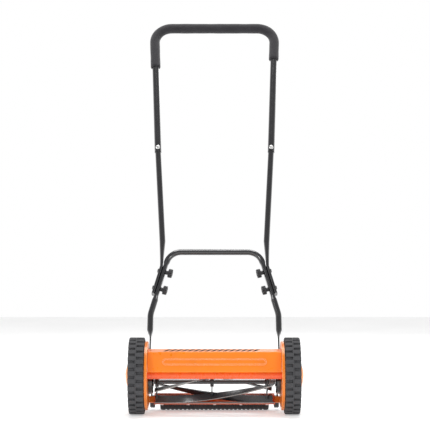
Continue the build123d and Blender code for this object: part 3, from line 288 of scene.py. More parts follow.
@dataclass(frozen=True)
class PowderCoat(Finish):
    """Glossy stoved paint on steel: faint orange peel, and edges lightened partly by thin wear and partly by a
    painted highlight.
    """

    roughness: float = 0.28
    coat: float = 0.6
    peel: float = 0.00006
    # Edge colour: partly wear, partly a painted highlight for light caught on rounded edges and beads.
    wear_and_highlight: Colour = (1.0, 0.72, 0.5)
    edge_reach: float = 0.0012
    soften: float = 0.0008

    def wire(self, wiring: Wiring) -> None:
        """Paint with cloudy tone, edges lightened by wear and a painted highlight, and orange peel.

        Args:
            wiring: The new material.
        """
        shader = wiring.shader
        dull = shade(self.colour, 0.86)
        tone = wiring.mix(wiring.spread(wiring.noise(14.0), 0.0, 1.0), self.colour, dull)
        # Edges lightened by the edge colour: partly chipped wear, partly a painted highlight on rounded edges and
        # beads.
        edge_breakup = wiring.spread(wiring.noise(300.0, 6.0), 0.5, 1.0, 0.35, 0.6)
        edge_share = wiring.maths("MULTIPLY", wiring.edges(self.edge_reach), edge_breakup)
        wiring.join(wiring.mix(edge_share, tone, self.wear_and_highlight), shader.inputs["Base Color"])
        rough = wiring.spread(wiring.noise(60.0, 5.0), self.roughness * 0.8, self.roughness * 1.35)
        wiring.join(rough, shader.inputs["Roughness"])
        shader.inputs["Coat Weight"].default_value = self.coat
        shader.inputs["Coat Roughness"].default_value = 0.06
        wiring.bump(wiring.noise(900.0, 2.0), self.peel, 0.5, self.soften)


@dataclass(frozen=True)
class Moulding(Finish):
    """Injection-moulded plastic with a fine spark-eroded grain."""

    roughness: float = 0.45
    grain: float = 0.00004
    coat: float = 0.0
    soften: float = 0.0006
    edge_reach: float = 0.0007

    def wire(self, wiring: Wiring) -> None:
        """Plastic with grain, scuffed edges and a little haze.

        Args:
            wiring: The new material.
        """
        shader = wiring.shader
        pale = shade(self.colour, 1.5, 0.012)
        haze = wiring.spread(wiring.noise(30.0, 5.0), 0.0, 0.45)
        tone = wiring.mix(haze, self.colour, pale)
        edge_share = wiring.edges(self.edge_reach)
        scuff = wiring.maths("MULTIPLY", edge_share, wiring.spread(wiring.noise(500.0), 0.0, 0.8))
        scuffed = wiring.mix(scuff, tone, shade(self.colour, 2.2, 0.03))
        wiring.join(scuffed, shader.inputs["Base Color"])
        low, high = self.roughness * 0.85, self.roughness * 1.25
        rough = wiring.spread(wiring.noise(90.0, 4.0), low, high)
        wiring.join(rough, shader.inputs["Roughness"])
        shader.inputs["Coat Weight"].default_value = self.coat
        shader.inputs["Coat Roughness"].default_value = 0.08
        wiring.bump(wiring.noise(2600.0, 2.0), self.grain, 0.6, self.soften)


@dataclass(frozen=True)
class Rubber(Finish):
    """Tyre rubber: matt, with dusty tread tops, painted shade in the grooves and fine moulding texture."""

    dust: Colour = (0.16, 0.155, 0.15)

    def wire(self, wiring: Wiring) -> None:
        """Rubber with dust rubbed on its edges and painted shade in its grooves.

        Args:
            wiring: The new material.
        """
        shader = wiring.shader
        patches = wiring.spread(wiring.noise(45.0, 6.0), 0.0, 0.28, 0.35, 0.75)
        edge = wiring.maths("MULTIPLY", wiring.edges(0.0009), 0.35)
        share = wiring.maths("MAXIMUM", patches, edge)
        dusty = wiring.mix(share, self.colour, self.dust)
        # Painted shade: ambient occlusion darkens the grooves and hollows towards a near-black colour.
        hollow = wiring.add("ShaderNodeAmbientOcclusion", samples=4, Distance=0.008).outputs["AO"]
        groove_shade = shade(self.colour, 0.2)
        groove_shaded = wiring.mix(wiring.spread(hollow, 0.0, 1.0, 0.25, 0.75), groove_shade, dusty)
        wiring.join(groove_shaded, shader.inputs["Base Color"])
        wiring.join(wiring.spread(wiring.noise(120.0), 0.55, 0.8), shader.inputs["Roughness"])
        shader.inputs["Specular IOR Level"].default_value = 0.4
        fine = wiring.noise(1500.0, 3.0)
        coarse = wiring.maths("MULTIPLY", wiring.noise(260.0), 0.6)
        height = wiring.maths("ADD", fine, coarse)
        wiring.bump(height, 0.00009, 0.6, 0.0005)


@dataclass(frozen=True)
class Foam(Finish):
    """Closed-cell foam sleeve with a pebbled, slightly sheeny skin."""

    def wire(self, wiring: Wiring) -> None:
        """Foam with pores and a soft sheen.

        Args:
            wiring: The new material.
        """
        shader = wiring.shader
        cells = wiring.add("ShaderNodeTexVoronoi", Scale=1300.0)
        wiring.join(wiring.place, cells.inputs["Vector"])
        pores = wiring.spread(cells.outputs["Distance"], 0.0, 1.0, 0.0, 0.55)
        cloud = wiring.spread(wiring.noise(25.0, 5.0), 0.0, 1.0)
        tone = wiring.mix(cloud, self.colour, shade(self.colour, 1.5))
        dark = shade(self.colour, 0.45)
        wiring.join(wiring.mix(pores, dark, tone), shader.inputs["Base Color"])
        wiring.join(wiring.spread(wiring.noise(200.0), 0.72, 0.92), shader.inputs["Roughness"])
        shader.inputs["Sheen Weight"].default_value = 0.25
        shader.inputs["Sheen Roughness"].default_value = 0.5
        shader.inputs["Specular IOR Level"].default_value = 0.3
        pebble = wiring.maths("MULTIPLY", wiring.noise(160.0, 4.0), 0.8)
        height = wiring.maths("ADD", pores, pebble)
        wiring.bump(height, 0.00022, 0.8)


@dataclass(frozen=True)
class Ink(Finish):
    """Matt printed ink, slightly thin in places."""

    def wire(self, wiring: Wiring) -> None:
        """Ink with faint patches and no shine.

        Args:
            wiring: The new material.
        """
        shader = wiring.shader
        thin = shade(self.colour, 2.5)
        tone = wiring.mix(wiring.spread(wiring.noise(200.0, 6.0), 0.0, 1.0), self.colour, thin)
        wiring.join(tone, shader.inputs["Base Color"])
        wiring.join(wiring.spread(wiring.noise(400.0), 0.85, 1.0), shader.inputs["Roughness"])
        shader.inputs["Specular IOR Level"].default_value = 0.05
        wiring.bump(wiring.noise(3000.0, 2.0), 0.00001, 0.4)


@dataclass(frozen=True)
class Steel(Finish):
    """Bare or plated steel with rolling or turning marks along one axis."""

    roughness: float = 0.3
    grain: tuple[float, float, float] = (1.0, 30.0, 30.0)
    tarnish: Colour = (0.3, 0.27, 0.23)
    soften: float = 0.0005

    def wire(self, wiring: Wiring) -> None:
        """Metal with directional marks and patches of tarnish.

        Args:
            wiring: The new material.
        """
        shader = wiring.shader
        shader.inputs["Metallic"].default_value = 1.0
        marks = wiring.noise(60.0, 4.0, Vector(self.grain))
        spots = wiring.spread(wiring.noise(70.0, 7.0), 0.0, 0.35, 0.55, 0.8)
        wiring.join(wiring.mix(spots, self.colour, self.tarnish), shader.inputs["Base Color"])
        rough = wiring.spread(marks, self.roughness * 0.75, self.roughness * 1.4)
        wiring.join(rough, shader.inputs["Roughness"])
        wiring.bump(marks, 0.00004, 0.5, self.soften)


@dataclass(frozen=True)
class GroundBlade(Finish):
    """Black enamelled blade whose outer edge and land are ground to bright steel."""

    centre: tuple[float, float] = (0.0, 0.0)
    land: float = 0.0
    steel: Colour = (0.3, 0.29, 0.28)

    def wire(self, wiring: Wiring) -> None:
        """Enamel inside the land's radius and bright steel outside it.

        Args:
            wiring: The new material.
        """
        shader = wiring.shader
        split = wiring.add("ShaderNodeSeparateXYZ")
        wiring.join(wiring.place, split.inputs["Vector"])
        across = wiring.maths("SUBTRACT", split.outputs["Y"], self.centre[0])
        up = wiring.maths("SUBTRACT", split.outputs["Z"], self.centre[1])
        squares = [wiring.maths("MULTIPLY", part, part) for part in (across, up)]
        radius = wiring.maths("SQRT", wiring.maths("ADD", *squares))
        wander = wiring.spread(wiring.noise(220.0, 4.0), -0.0005, 0.0005)
        ragged = wiring.maths("ADD", radius, wander)
        ground = wiring.spread(ragged, 0.0, 1.0, self.land, self.land + 0.0004)
        cloud = wiring.spread(wiring.noise(40.0, 5.0), 0.0, 1.0)
        enamel = wiring.mix(cloud, self.colour, shade(self.colour, 2.2))
        wiring.join(wiring.mix(ground, enamel, self.steel), shader.inputs["Base Color"])
        wiring.join(ground, shader.inputs["Metallic"])
        streaks = wiring.noise(80.0, 4.0, Vector((1.0, 25.0, 25.0)))
        wiring.join(wiring.spread(streaks, 0.22, 0.42), shader.inputs["Roughness"])
        shader.inputs["Coat Weight"].default_value = 0.25
        shader.inputs["Coat Roughness"].default_value = 0.12
        wiring.bump(streaks, 0.00005, 0.5, 0.0004)


ORANGE = (0.93, 0.225, 0.0)
# Darker, redder copy of the orange paint: painted shade for the tie bar, bed bar and bolts.
SHADED_ORANGE = (0.85, 0.1, 0.006)
ENAMEL_BLACK = (0.009, 0.009, 0.011)
BLADE_LAND = 52.85 * MM
PLACES = Places.from_frame()
REEL_CENTRE = (PLACES.reel.y, PLACES.reel.z)


class Finishes(Enum):
    """The mower's finishes, one for each kind of surface."""

    ORANGE_PAINT = PowderCoat("orange_powder_coat", ORANGE, 0.32, 0.2)
    SHADED_ORANGE_PAINT = PowderCoat("shaded_orange_powder_coat", SHADED_ORANGE, 0.26, 0.4, wear_and_highlight=(1.0, 0.42, 0.25))
    BLACK_PAINT = PowderCoat("black_enamel", ENAMEL_BLACK, 0.2, 1.0, wear_and_highlight=(0.09, 0.09, 0.09))
    ORANGE_PLASTIC = Moulding("orange_moulding", ORANGE, 0.3, 0.00002, 0.4)
    BLACK_PLASTIC = Moulding("black_moulding", (0.016, 0.016, 0.018), 0.42)
    WHEEL_PLASTIC = Moulding("wheel_moulding", (0.022, 0.022, 0.025), 0.5)
    GEAR_PLASTIC = Moulding("gear_nylon", (0.05, 0.05, 0.055), 0.4)
    TYRE = Rubber("tyre_rubber", (0.042, 0.042, 0.047))
    FOAM = Foam("grip_foam", (0.018, 0.017, 0.02))
    ZINC = Steel("zinc_plate", (0.75, 0.75, 0.74), 0.28)
    BARE_STEEL = Steel("bare_steel", (0.5, 0.5, 0.5), 0.32)
    KNIFE_STEEL = Steel("ground_knife_steel", (0.33, 0.3, 0.29), 0.36)
    BLADE = GroundBlade("ground_blade", (0.014, 0.014, 0.016), REEL_CENTRE, BLADE_LAND)
    DECAL = Ink("decal_ink", (0.01, 0.01, 0.01))


# The nodes that show another finish than their record slot's; the tie bar, bed bar and its bolts get a darker,
# redder copy of the orange paint as painted shade
NODE_FINISHES = {
    "front_tie_bar": Finishes.SHADED_ORANGE_PAINT,
    "bed_bar": Finishes.SHADED_ORANGE_PAINT,
    "bed_bar_bolts": Finishes.SHADED_ORANGE_PAINT,
}
# The finish that each record slot shows
SLOT_FINISHES = {
    "tyre_rubber": Finishes.TYRE,
    "wheel_plastic": Finishes.WHEEL_PLASTIC,
    "orange_plastic": Finishes.ORANGE_PLASTIC,
    "orange_paint": Finishes.ORANGE_PAINT,
    "black_paint": Finishes.BLACK_PAINT,
    "blade_paint": Finishes.BLADE,
    "bare_steel": Finishes.BARE_STEEL,
    "zinc_steel": Finishes.ZINC,
    "black_zinc": Finishes.BLACK_PAINT,
    "black_plastic": Finishes.BLACK_PLASTIC,
    "gear_plastic": Finishes.GEAR_PLASTIC,
    "foam": Finishes.FOAM,
    "knife_steel": Finishes.KNIFE_STEEL,
}


def dress_frame() -> None:
    """Give every CAD node the finish of its record slot."""
    for row in frame["record"]["subparts"]:
        node = frame["nodes"][row["node"]]
        finish = NODE_FINISHES.get(row["node"], SLOT_FINISHES[row["material_slot"]])
        material = finish.value.made()
        for slot in node.material_slots:
            slot.material = material
        LOG.info("dressed %s", row["node"])


# ------------------------------------------------------------------ mesh building


@dataclass(frozen=True)
class Piece:
    """What a finished mesh is called, what it is made of and what it rides on."""

    name: str
    body: str
    slot: str
    finish: Finishes
    replaces: tuple[str, ...] = ()
    crease: float = 32.0

    def placed(self, bm: bmesh.types.BMesh) -> bpy.types.Object:
        """Turn a finished mesh into a piece of the mower.

        Args:
            bm: The mesh, in the mower's frame. It is freed.

        Returns:
            The piece, riding on its body.
        """
        bmesh.ops.remove_doubles(bm, verts=bm.verts, dist=0.000001)
        bmesh.ops.recalc_face_normals(bm, faces=bm.faces)
        mesh = bpy.data.meshes.new(self.name)
        bm.to_mesh(mesh)
        bm.free()
        mesh.shade_smooth()
        mesh.set_sharp_from_angle(angle=math.radians(self.crease))
        mesh.materials.append(self.finish.value.made())
        obj = bpy.data.objects.new(self.name, mesh)
        bpy.context.scene.collection.objects.link(obj)
        if self.replaces:
            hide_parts(*self.replaces)
        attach(obj, self.body)
        LOG.info("built %s with %d faces", self.name, len(mesh.polygons))
        return obj


# ------------------------------------------------------------------ shape tools


@dataclass(frozen=True)
class Corner:
    """A corner of an outline, in any plane, and how far it is rounded."""

    a: float
    b: float
    radius: float = 0.0


def rounded(corners: list[Corner], steps: int) -> list[Vector]:
    """Round the corners of a closed outline.

    Args:
        corners: The sharp outline.
        steps: Faces round each corner.

    Returns:
        The outline's points, as 2-D vectors.
    """
    points: list[Vector] = []
    count = len(corners)
    for index, corner in enumerate(corners):
        here = Vector((corner.a, corner.b))
        if corner.radius <= 0.0:
            points.append(here)
            continue
        before, after = corners[index - 1], corners[(index + 1) % count]
        back = (Vector((before.a, before.b)) - here).normalized()
        ahead = (Vector((after.a, after.b)) - here).normalized()
        half = back.angle(ahead) / 2
        centre = here + (back + ahead).normalized() * corner.radius / math.sin(half)
        first = here + back * corner.radius / math.tan(half) - centre
        last = here + ahead * corner.radius / math.tan(half) - centre
        turn = first.angle_signed(last)
        for step in range(steps + 1):
            spin = Matrix.Rotation(-turn * step / steps, 2).transposed()
            points.append(centre + first @ spin)
    return points


def spun(
    bm: bmesh.types.BMesh,
    outline: list[Vector],
    centre: Vector,
    steps: int,
    angle: float = 2 * math.pi,
    start: float = math.pi / 2,
) -> None:
    """Spin an outline of (x, radius) points about a line along X.

    Args:
        bm: The mesh to add to.
        outline: Points as x and radius.
        centre: A point on the line.
        steps: Faces round the spin.
        angle: How far it is spun.
        start: Angle it starts from, from +Y towards +Z. A part turn is filled at both ends.
    """
    toward = Vector((0.0, math.cos(start), math.sin(start)))
    middle = Vector((0.0, centre.y, centre.z))
    verts = [bm.verts.new(middle + toward * r + Vector((x, 0.0, 0.0))) for x, r in outline]
    geometry = verts + [bm.edges.new(pair) for pair in zip(verts, verts[1:] + verts[:1])]
    whole = abs(angle - 2 * math.pi) < 0.0001
    if not whole:
        geometry.append(bm.faces.new(verts))
    bmesh.ops.spin(bm, geom=geometry, cent=middle, axis=(1.0, 0.0, 0.0), angle=angle, steps=steps,
                   use_merge=whole)


def bevel_edges(bm: bmesh.types.BMesh, width: float, segments: int, least_turn: float) -> None:
    """Bevel every edge sharper than an angle.

    Args:
        bm: The mesh.
        width: Width of the bevel.
        segments: Faces across it.
        least_turn: Smallest angle between faces that is bevelled, in degrees.
    """
    least = math.radians(least_turn)
    edges = [e for e in bm.edges if len(e.link_faces) == 2 and e.calc_face_angle(0.0) > least]
    bmesh.ops.bevel(bm, geom=edges, offset=width, segments=segments, affect="EDGES", profile=0.5,
                    material=-1, offset_type="OFFSET")


def mirrored(bm: bmesh.types.BMesh, side: str) -> None:
    """Flip a mesh built on the right to the left, if that is its side."""
    bmesh.ops.scale(bm, vec=(SIDES[side], 1.0, 1.0), verts=bm.verts)


@dataclass(frozen=True)
class Ring:
    """One ring of a swept tube: where it stands and how big it is."""

    place: Matrix
    radius: float


def edges_of(grown: list, verts: set[bmesh.types.BMVert]) -> list[bmesh.types.BMEdge]:
    """Pick the edges of an extrusion that run between its new vertices."""
    edges = [item for item in grown if isinstance(item, bmesh.types.BMEdge)]
    return [edge for edge in edges if set(edge.verts) <= verts]


def swept(
    bm: bmesh.types.BMesh,
    rings: list[Ring],
    faces: int,
    start: list[bmesh.types.BMEdge] | None = None,
) -> list[bmesh.types.BMEdge]:
    """Sweep a circle through rings.

    Args:
        bm: The mesh to add to.
        rings: The rings in order.
        faces: Faces round the tube.
        start: Edges of a ring that is already there, to go on from.

    Returns:
        The first ring's edges.
    """
    if start is None:
        head = rings[0]
        made = bmesh.ops.create_circle(bm, segments=faces, radius=head.radius, matrix=head.place)
        start = list({edge for vert in made["verts"] for edge in vert.link_edges})
    edges = start
    for last, ring in zip(rings, rings[1:]):
        grown = bmesh.ops.extrude_edge_only(bm, edges=edges)["geom"]
        verts = [item for item in grown if isinstance(item, bmesh.types.BMVert)]
        scale = ring.radius / last.radius
        move = ring.place @ Matrix.Diagonal((scale, scale, 1.0, 1.0)) @ last.place.inverted()
        bmesh.ops.transform(bm, matrix=move, verts=verts)
        edges = edges_of(grown, set(verts))
    return start


# ------------------------------------------------------------------ handle's own plane


@dataclass(frozen=True)
class HandlePlane:
    """The plane that the whole handle lies in, leaning back from the pivots."""

    foot: Vector
    lean: float

    def point(self, x: float, s: float, out: float = 0.0) -> Vector:
        """Place of a point on the plane.

        Args:
            x: Across the mower.
            s: Up the handle.
            out: Off the plane, towards the front.

        Returns:
            The point in the mower's frame.
        """
        up = Vector((0.0, math.sin(self.lean), math.cos(self.lean)))
        front = Vector((0.0, -math.cos(self.lean), math.sin(self.lean)))
        return self.foot + Vector((x, 0.0, 0.0)) + up * s + front * out

    def along(self, here: Vector, heading: Vector) -> Matrix:
        """Frame at a point of the plane whose Z runs along a heading.

        Args:
            here: The point, as x and s.
            heading: The heading, as x and s.

        Returns:
            The frame.
        """
        ahead = (self.point(heading.x, heading.y) - self.foot).normalized()
        front = self.point(0.0, 0.0, 1.0) - self.foot
        side = ahead.cross(front)
        matrix = Matrix((side, -front, ahead)).transposed()
        if matrix.determinant() < 0.0:
            matrix = Matrix((-side, -front, ahead)).transposed()
        return Matrix.Translation(self.point(here.x, here.y)) @ matrix.to_4x4()


# ------------------------------------------------------------------ wheels


@dataclass
class Tyre:
    """Rubber tyre with two staggered rows of rounded blocks on either side of a thin rib."""

    side: str
    bore: float = 86.0 * MM
    inner: float = 178.0 * MM
    outer: float = 217.0 * MM
    depth: float = 5.0 * MM
    rib: float = 3.0 * MM
    blocks: int = 31
    groove: float = 8.0 * MM
    shoulder: float = 3.0 * MM
    first: float = math.radians(177.7)
    flank_dish: float = 0.8 * MM
    bead: float = 1.6 * MM
    steps: int = 5

    def build(self) -> bpy.types.Object:
        """Build the tyre, with its carcass, rib and blocks in one mesh.

        Returns:
            The finished piece.
        """
        axle = PLACES.axle
        radius = axle.z
        bm = bmesh.new()
        base = radius - self.depth
        dish = self.flank_dish
        carcass = [
            Corner(self.inner, self.bore),
            Corner(self.outer, self.bore),
            Corner(self.outer - dish, self.bore + self.bead, 1.0 * MM),
            Corner(self.outer - dish, base - 0.8 * MM, 1.0 * MM),
            Corner(self.outer, base, 0.2 * MM),
            Corner(self.inner, base, 0.2 * MM),
            Corner(self.inner + dish, base - 0.8 * MM, 1.0 * MM),
            Corner(self.inner + dish, self.bore + self.bead, 1.0 * MM),
        ]
        spun(bm, rounded(carcass, 2), axle, self.steps * self.blocks)
        middle = (self.inner + self.outer) / 2
        thin = [
            Corner(middle - self.rib / 2 - 0.4 * MM, base - 0.5 * MM),
            Corner(middle + self.rib / 2 + 0.4 * MM, base - 0.5 * MM),
            Corner(middle + self.rib / 2, radius, 0.7 * MM),
            Corner(middle - self.rib / 2, radius, 0.7 * MM),
        ]
        spun(bm, rounded(thin, 2), axle, self.steps * self.blocks)
        pitch = 2 * math.pi / self.blocks
        for edge, start in ((self.outer, self.first), (self.inner, self.first + pitch / 2)):
            self.row(bm, middle, edge, start)
        mirrored(bm, self.side)
        node = f"tyre_{self.side}"
        body = f"wheel_{self.side}"
        return Piece(f"{node}_moulded", body, "tyre_rubber", Finishes.TYRE, (node,)).placed(bm)

    def row(self, bm: bmesh.types.BMesh, middle: float, edge: float, start: float) -> None:
        """Add one row of blocks.

        Args:
            bm: The tyre's mesh.
            middle: Middle of the tread.
            edge: The flank that the row reaches.
            start: Angle of the middle of the row's first groove.
        """
        axle = PLACES.axle
        radius = axle.z
        sign = 1.0 if edge > middle else -1.0
        gap = self.groove / radius
        pitch = 2 * math.pi / self.blocks
        low = radius - self.depth - 0.6 * MM
        section = [
            Corner(middle + sign * self.rib / 2, low),
            Corner(edge, low),
            Corner(edge, radius, self.shoulder),
            Corner(middle + sign * self.rib / 2, radius),
        ]
        block = bmesh.new()
        spun(block, rounded(section, 3), axle, 3, pitch - gap, start + gap / 2)
        bmesh.ops.recalc_face_normals(block, faces=block.faces)
        bevel_edges(block, 0.7 * MM, 2, 50.0)
        mesh = bpy.data.meshes.new("block")
        block.to_mesh(mesh)
        block.free()
        for index in range(self.blocks):
            old = set(bm.verts)
            bm.from_mesh(mesh)
            fresh = [vert for vert in bm.verts if vert not in old]
            turn = Matrix.Rotation(index * pitch, 3, "X")
            bmesh.ops.rotate(bm, verts=fresh, cent=axle, matrix=turn)
        bpy.data.meshes.remove(mesh)


# ------------------------------------------------------------------ height roller


@dataclass
class Roller:
    """Moulded roller whose ribs are rounded, with a deep well in each end."""

    half: float = 142.0 * MM
    radius: float = 22.0 * MM
    grooves: int = 24
    groove: float = 4.0 * MM
    depth: float = 1.8 * MM
    pitch: float = 11.0 * MM
    hub: float = 10.0 * MM
    bore: float = 5.15 * MM
    wall: float = 17.5 * MM
    well: float = 100.0 * MM
    lip: float = 0.8 * MM
    shoulder: float = 4.5 * MM
    faces: int = 72

    def build(self) -> bpy.types.Object:
        """Build the roller by spinning its outline.

        Returns:
            The finished piece.
        """
        end, bottom = self.half, self.half - self.well
        corners = [
            Corner(-end, self.bore),
            Corner(-end, self.hub),
            Corner(-bottom, self.hub),
            Corner(-bottom, self.wall),
            Corner(-end, self.wall, self.lip),
            Corner(-end, self.radius, self.shoulder),
        ]
        inner = self.radius - self.depth
        for index in range(self.grooves):
            middle = (index - (self.grooves - 1) / 2) * self.pitch
            left = middle - self.groove / 2
            right = middle + self.groove / 2
            corners += [
                Corner(left - 0.3 * MM, self.radius, 1.1 * MM),
                Corner(left + 0.4 * MM, inner, 0.5 * MM),
                Corner(right - 0.4 * MM, inner, 0.5 * MM),
                Corner(right + 0.3 * MM, self.radius, 1.1 * MM),
            ]
        corners += [
            Corner(end, self.radius, self.shoulder),
            Corner(end, self.wall, self.lip),
            Corner(bottom, self.wall),
            Corner(bottom, self.hub),
            Corner(end, self.hub),
            Corner(end, self.bore),
        ]
        bm = bmesh.new()
        spun(bm, rounded(corners, 2), PLACES.roller, self.faces)
        finish = Finishes.BLACK_PLASTIC
        return Piece("roller_moulded", "roller", "black_plastic", finish, ("roller",)).placed(bm)


# ------------------------------------------------------------------ handle


@dataclass
class FoamGrip:
    """Foam sleeve over the upper handle's cross tube and the tops of its legs."""

    plane: HandlePlane
    tube: float = 9.55 * MM
    radius: float = 14.2 * MM
    lip: float = 2.6 * MM
    top: float = 1096.0 * MM
    corner: float = 178.33 * MM
    slope: float = 0.0438
    bend: float = 50.0 * MM
    ends: tuple[float, float] = (954.0 * MM, 982.0 * MM)
    step: float = 4.0 * MM
    faces: int = 40
    swell: float = 0.25 * MM

    def line(self) -> list[tuple[Vector, Vector]]:
        """Places and headings along the sleeve's middle line, from the left end to the right.

        Returns:
            Pairs of place and heading, each as x and s.
        """
        turn = math.pi / 2 + math.atan(self.slope)
        reach = self.bend * math.tan(turn / 2)
        up = Vector((-self.slope, 1.0)).normalized()
        first = Vector((-self.corner, self.top))
        found: list[tuple[Vector, Vector]] = []
        foot = first - up * ((self.top - self.ends[0]) / up.y)
        self.straight(found, foot, first - up * reach)
        heading = self.turned(found, turn)
        second = Vector((self.corner, self.top))
        self.straight(found, found[-1][0], second - heading * reach)
        down = self.turned(found, turn)
        last = second + down * ((self.top - self.ends[1]) / -down.y)
        self.straight(found, found[-1][0], last)
        return found

    def straight(self, found: list[tuple[Vector, Vector]], start: Vector, end: Vector) -> None:
        """Add places along a straight run, leaving out a start that is already there."""
        run = end - start
        count = max(2, round(run.length / self.step))
        for index in range(1 if found else 0, count + 1):
            found.append((start + run * index / count, run.normalized()))

    def turned(self, found: list[tuple[Vector, Vector]], turn: float) -> Vector:
        """Add places round a bend to the right.

        Args:
            found: The places so far.
            turn: How far the bend turns.

        Returns:
            The heading after the bend.
        """
        here, heading = found[-1]
        centre = here + Vector((heading.y, -heading.x)) * self.bend
        count = round(self.bend * turn / self.step)
        for index in range(1, count + 1):
            spin = Matrix.Rotation(-turn * index / count, 2)
            found.append((centre + spin @ (here - centre), spin @ heading))
        return found[-1][1]

    def build(self) -> bpy.types.Object:
        """Build the sleeve with rounded ends and a faintly uneven skin.

        Returns:
            The finished piece.
        """
        line = self.line()
        quarter = [math.radians(90.0 * index / 5) for index in range(6)]
        skin: list[Ring] = []
        run = [0.0]
        for (a, _), (b, _) in zip(line, line[1:]):
            run.append(run[-1] + (b - a).length)
        total = run[-1]
        for (place, heading), gone in zip(line, run):
            if gone < self.lip or total - gone < self.lip:
                continue
            swell = self.swell * math.sin(gone * 37.0) * math.sin(gone * 91.0 + 1.0)
            skin.append(Ring(self.plane.along(place, heading), self.radius + swell))
        flat = self.radius - self.lip
        curve = [(self.lip * (1.0 - math.cos(a)), flat + self.lip * math.sin(a)) for a in quarter]
        head = [self.cap(line[0], ahead, radius) for ahead, radius in curve]
        tail = [self.cap(line[-1], -ahead, radius) for ahead, radius in reversed(curve)]
        bore = [Ring(self.plane.along(place, heading), self.tube) for place, heading in line]
        bm = bmesh.new()
        first = swept(bm, bore, self.faces)
        swept(bm, [bore[0], *head, *skin, *tail, bore[-1]], self.faces, first)
        bmesh.ops.remove_doubles(bm, verts=bm.verts, dist=0.00001)
        sleeve = Piece("foam_grip_sleeve", "handle", "foam", Finishes.FOAM, ("foam_grip",), 60.0)
        grip = sleeve.placed(bm)
        return grip

    def cap(self, end: tuple[Vector, Vector], ahead: float, radius: float) -> Ring:
        """One ring of a rounded end.

        Args:
            end: Place and heading of the sleeve's end.
            ahead: How far along the heading it stands.
            radius: Its radius.

        Returns:
            The ring.
        """
        place, heading = end
        return Ring(self.plane.along(place + heading * ahead, heading), radius)


@dataclass(frozen=True)
class KnobSize:
    """Sizes of one kind of hand knob."""

    radius: float
    thick: float
    neck: float
    neck_long: float
    bore: float
    bore_deep: float
    lobes: int
    scallop: float
    round_edge: float = 1.6 * MM
    dish: float = 1.0 * MM
    faces: int = 96


class KnobSizes(Enum):
    """The mower's two kinds of knob."""

    HANDLE = KnobSize(
        radius=12.0 * MM,
        thick=10.7 * MM,
        neck=5.5 * MM,
        neck_long=6.7 * MM,
        bore=3.05 * MM,
        bore_deep=14.4 * MM,
        lobes=8,
        scallop=1.6 * MM,
    )
    HEIGHT = KnobSize(
        radius=16.0 * MM,
        thick=12.0 * MM,
        neck=8.0 * MM,
        neck_long=6.0 * MM,
        bore=4.05 * MM,
        bore_deep=16.0 * MM,
        lobes=6,
        scallop=2.6 * MM,
    )


@dataclass
class LobedKnob:
    """Moulded hand knob with scalloped sides, a round neck and a dished face."""

    node: str
    seat: Vector
    outward: Vector
    kind: KnobSizes

    def build(self) -> bpy.types.Object:
        """Build the knob from its neck outwards.

        Returns:
            The finished piece.
        """
        size = self.kind.value
        bm = bmesh.new()
        made = bmesh.ops.create_circle(bm, segments=size.faces, radius=size.bore)["verts"]
        bmesh.ops.translate(bm, vec=(0.0, 0.0, size.bore_deep), verts=made)
        edges = list({edge for vert in made for edge in vert.link_edges})
        bmesh.ops.contextual_create(bm, geom=edges)
        for height, radius, lobed in self.rings():
            grown = bmesh.ops.extrude_edge_only(bm, edges=edges)["geom"]
            fresh = {item for item in grown if isinstance(item, bmesh.types.BMVert)}
            for vert in fresh:
                self.shape(vert, height, radius, lobed)
            edges = edges_of(grown, fresh)
        bmesh.ops.contextual_create(bm, geom=edges)
        turn = self.outward.to_track_quat("Z", "X").to_matrix().to_4x4()
        bmesh.ops.transform(bm, matrix=Matrix.Translation(self.seat) @ turn, verts=bm.verts)
        name = f"{self.node}_moulded"
        finish = Finishes.BLACK_PLASTIC
        return Piece(name, self.node, "black_plastic", finish, (self.node,)).placed(bm)

    def rings(self) -> list[tuple[float, float, float]]:
        """Rings from the mouth of the bore, out over the neck and lobes, to the dished face.

        Returns:
            Each ring's height, its radius over the lobes and its share of the scallop.
        """
        size = self.kind.value
        edge = size.round_edge
        low, top = size.neck_long, size.neck_long + size.thick
        quarter = [math.radians(90.0 * index / 4) for index in range(5)]
        rings = [(0.0, size.bore, 0.0), (0.0, size.neck, 0.0), (low, size.neck, 0.0)]
        for a in quarter:
            back, out = edge * (1 - math.cos(a)), edge * (1 - math.sin(a))
            rings.append((low + back, size.radius - out, 1.0))
        for a in quarter:
            back, out = edge * (1 - math.sin(a)), edge * (1 - math.cos(a))
            rings.append((top - back, size.radius - out, 1.0))
        rings.append((top, size.radius - 2.4 * edge, 0.8))
        rings.append((top - size.dish, size.radius * 0.55, 0.2))
        rings.append((top - size.dish, size.radius * 0.2, 0.0))
        return rings

    def shape(
        self, vert: bmesh.types.BMVert, height: float, radius: float, lobed: float
    ) -> None:
        """Put a vertex on a ring whose sides are scalloped.

        Args:
            vert: The vertex, whose angle is kept.
            height: Height of the ring.
            radius: Its radius over the lobes.
            lobed: How much of the scallop's depth it has.
        """
        size = self.kind.value
        angle = math.atan2(vert.co.y, vert.co.x)
        dip = max(0.0, math.cos(size.lobes * angle)) ** 1.5
        reach = radius - size.scallop * lobed * dip
        vert.co = Vector((reach * math.cos(angle), reach * math.sin(angle), height))


def build_knobs() -> None:
    """Build the four handle knobs and the two height knobs."""
    for side, sign in SIDES.items():
        for level in ("lower", "upper"):
            node = f"handle_knob_{side}_{level}"
            joint = JOINTS[f"{node}_turn"]
            inward = -Vector(joint["axis"])
            seat = Vector(joint["pos_m"]) + inward * HANDLE_KNOB_SEAT
            LobedKnob(node, seat, inward, KnobSizes.HANDLE).build()
        node = f"height_knob_{side}"
        _, y, z = JOINTS[f"{node}_turn"]["pos_m"]
        seat = Vector((sign * HEIGHT_KNOB_SEAT, y, z))
        LobedKnob(node, seat, Vector((-sign, 0.0, 0.0)), KnobSizes.HEIGHT).build()


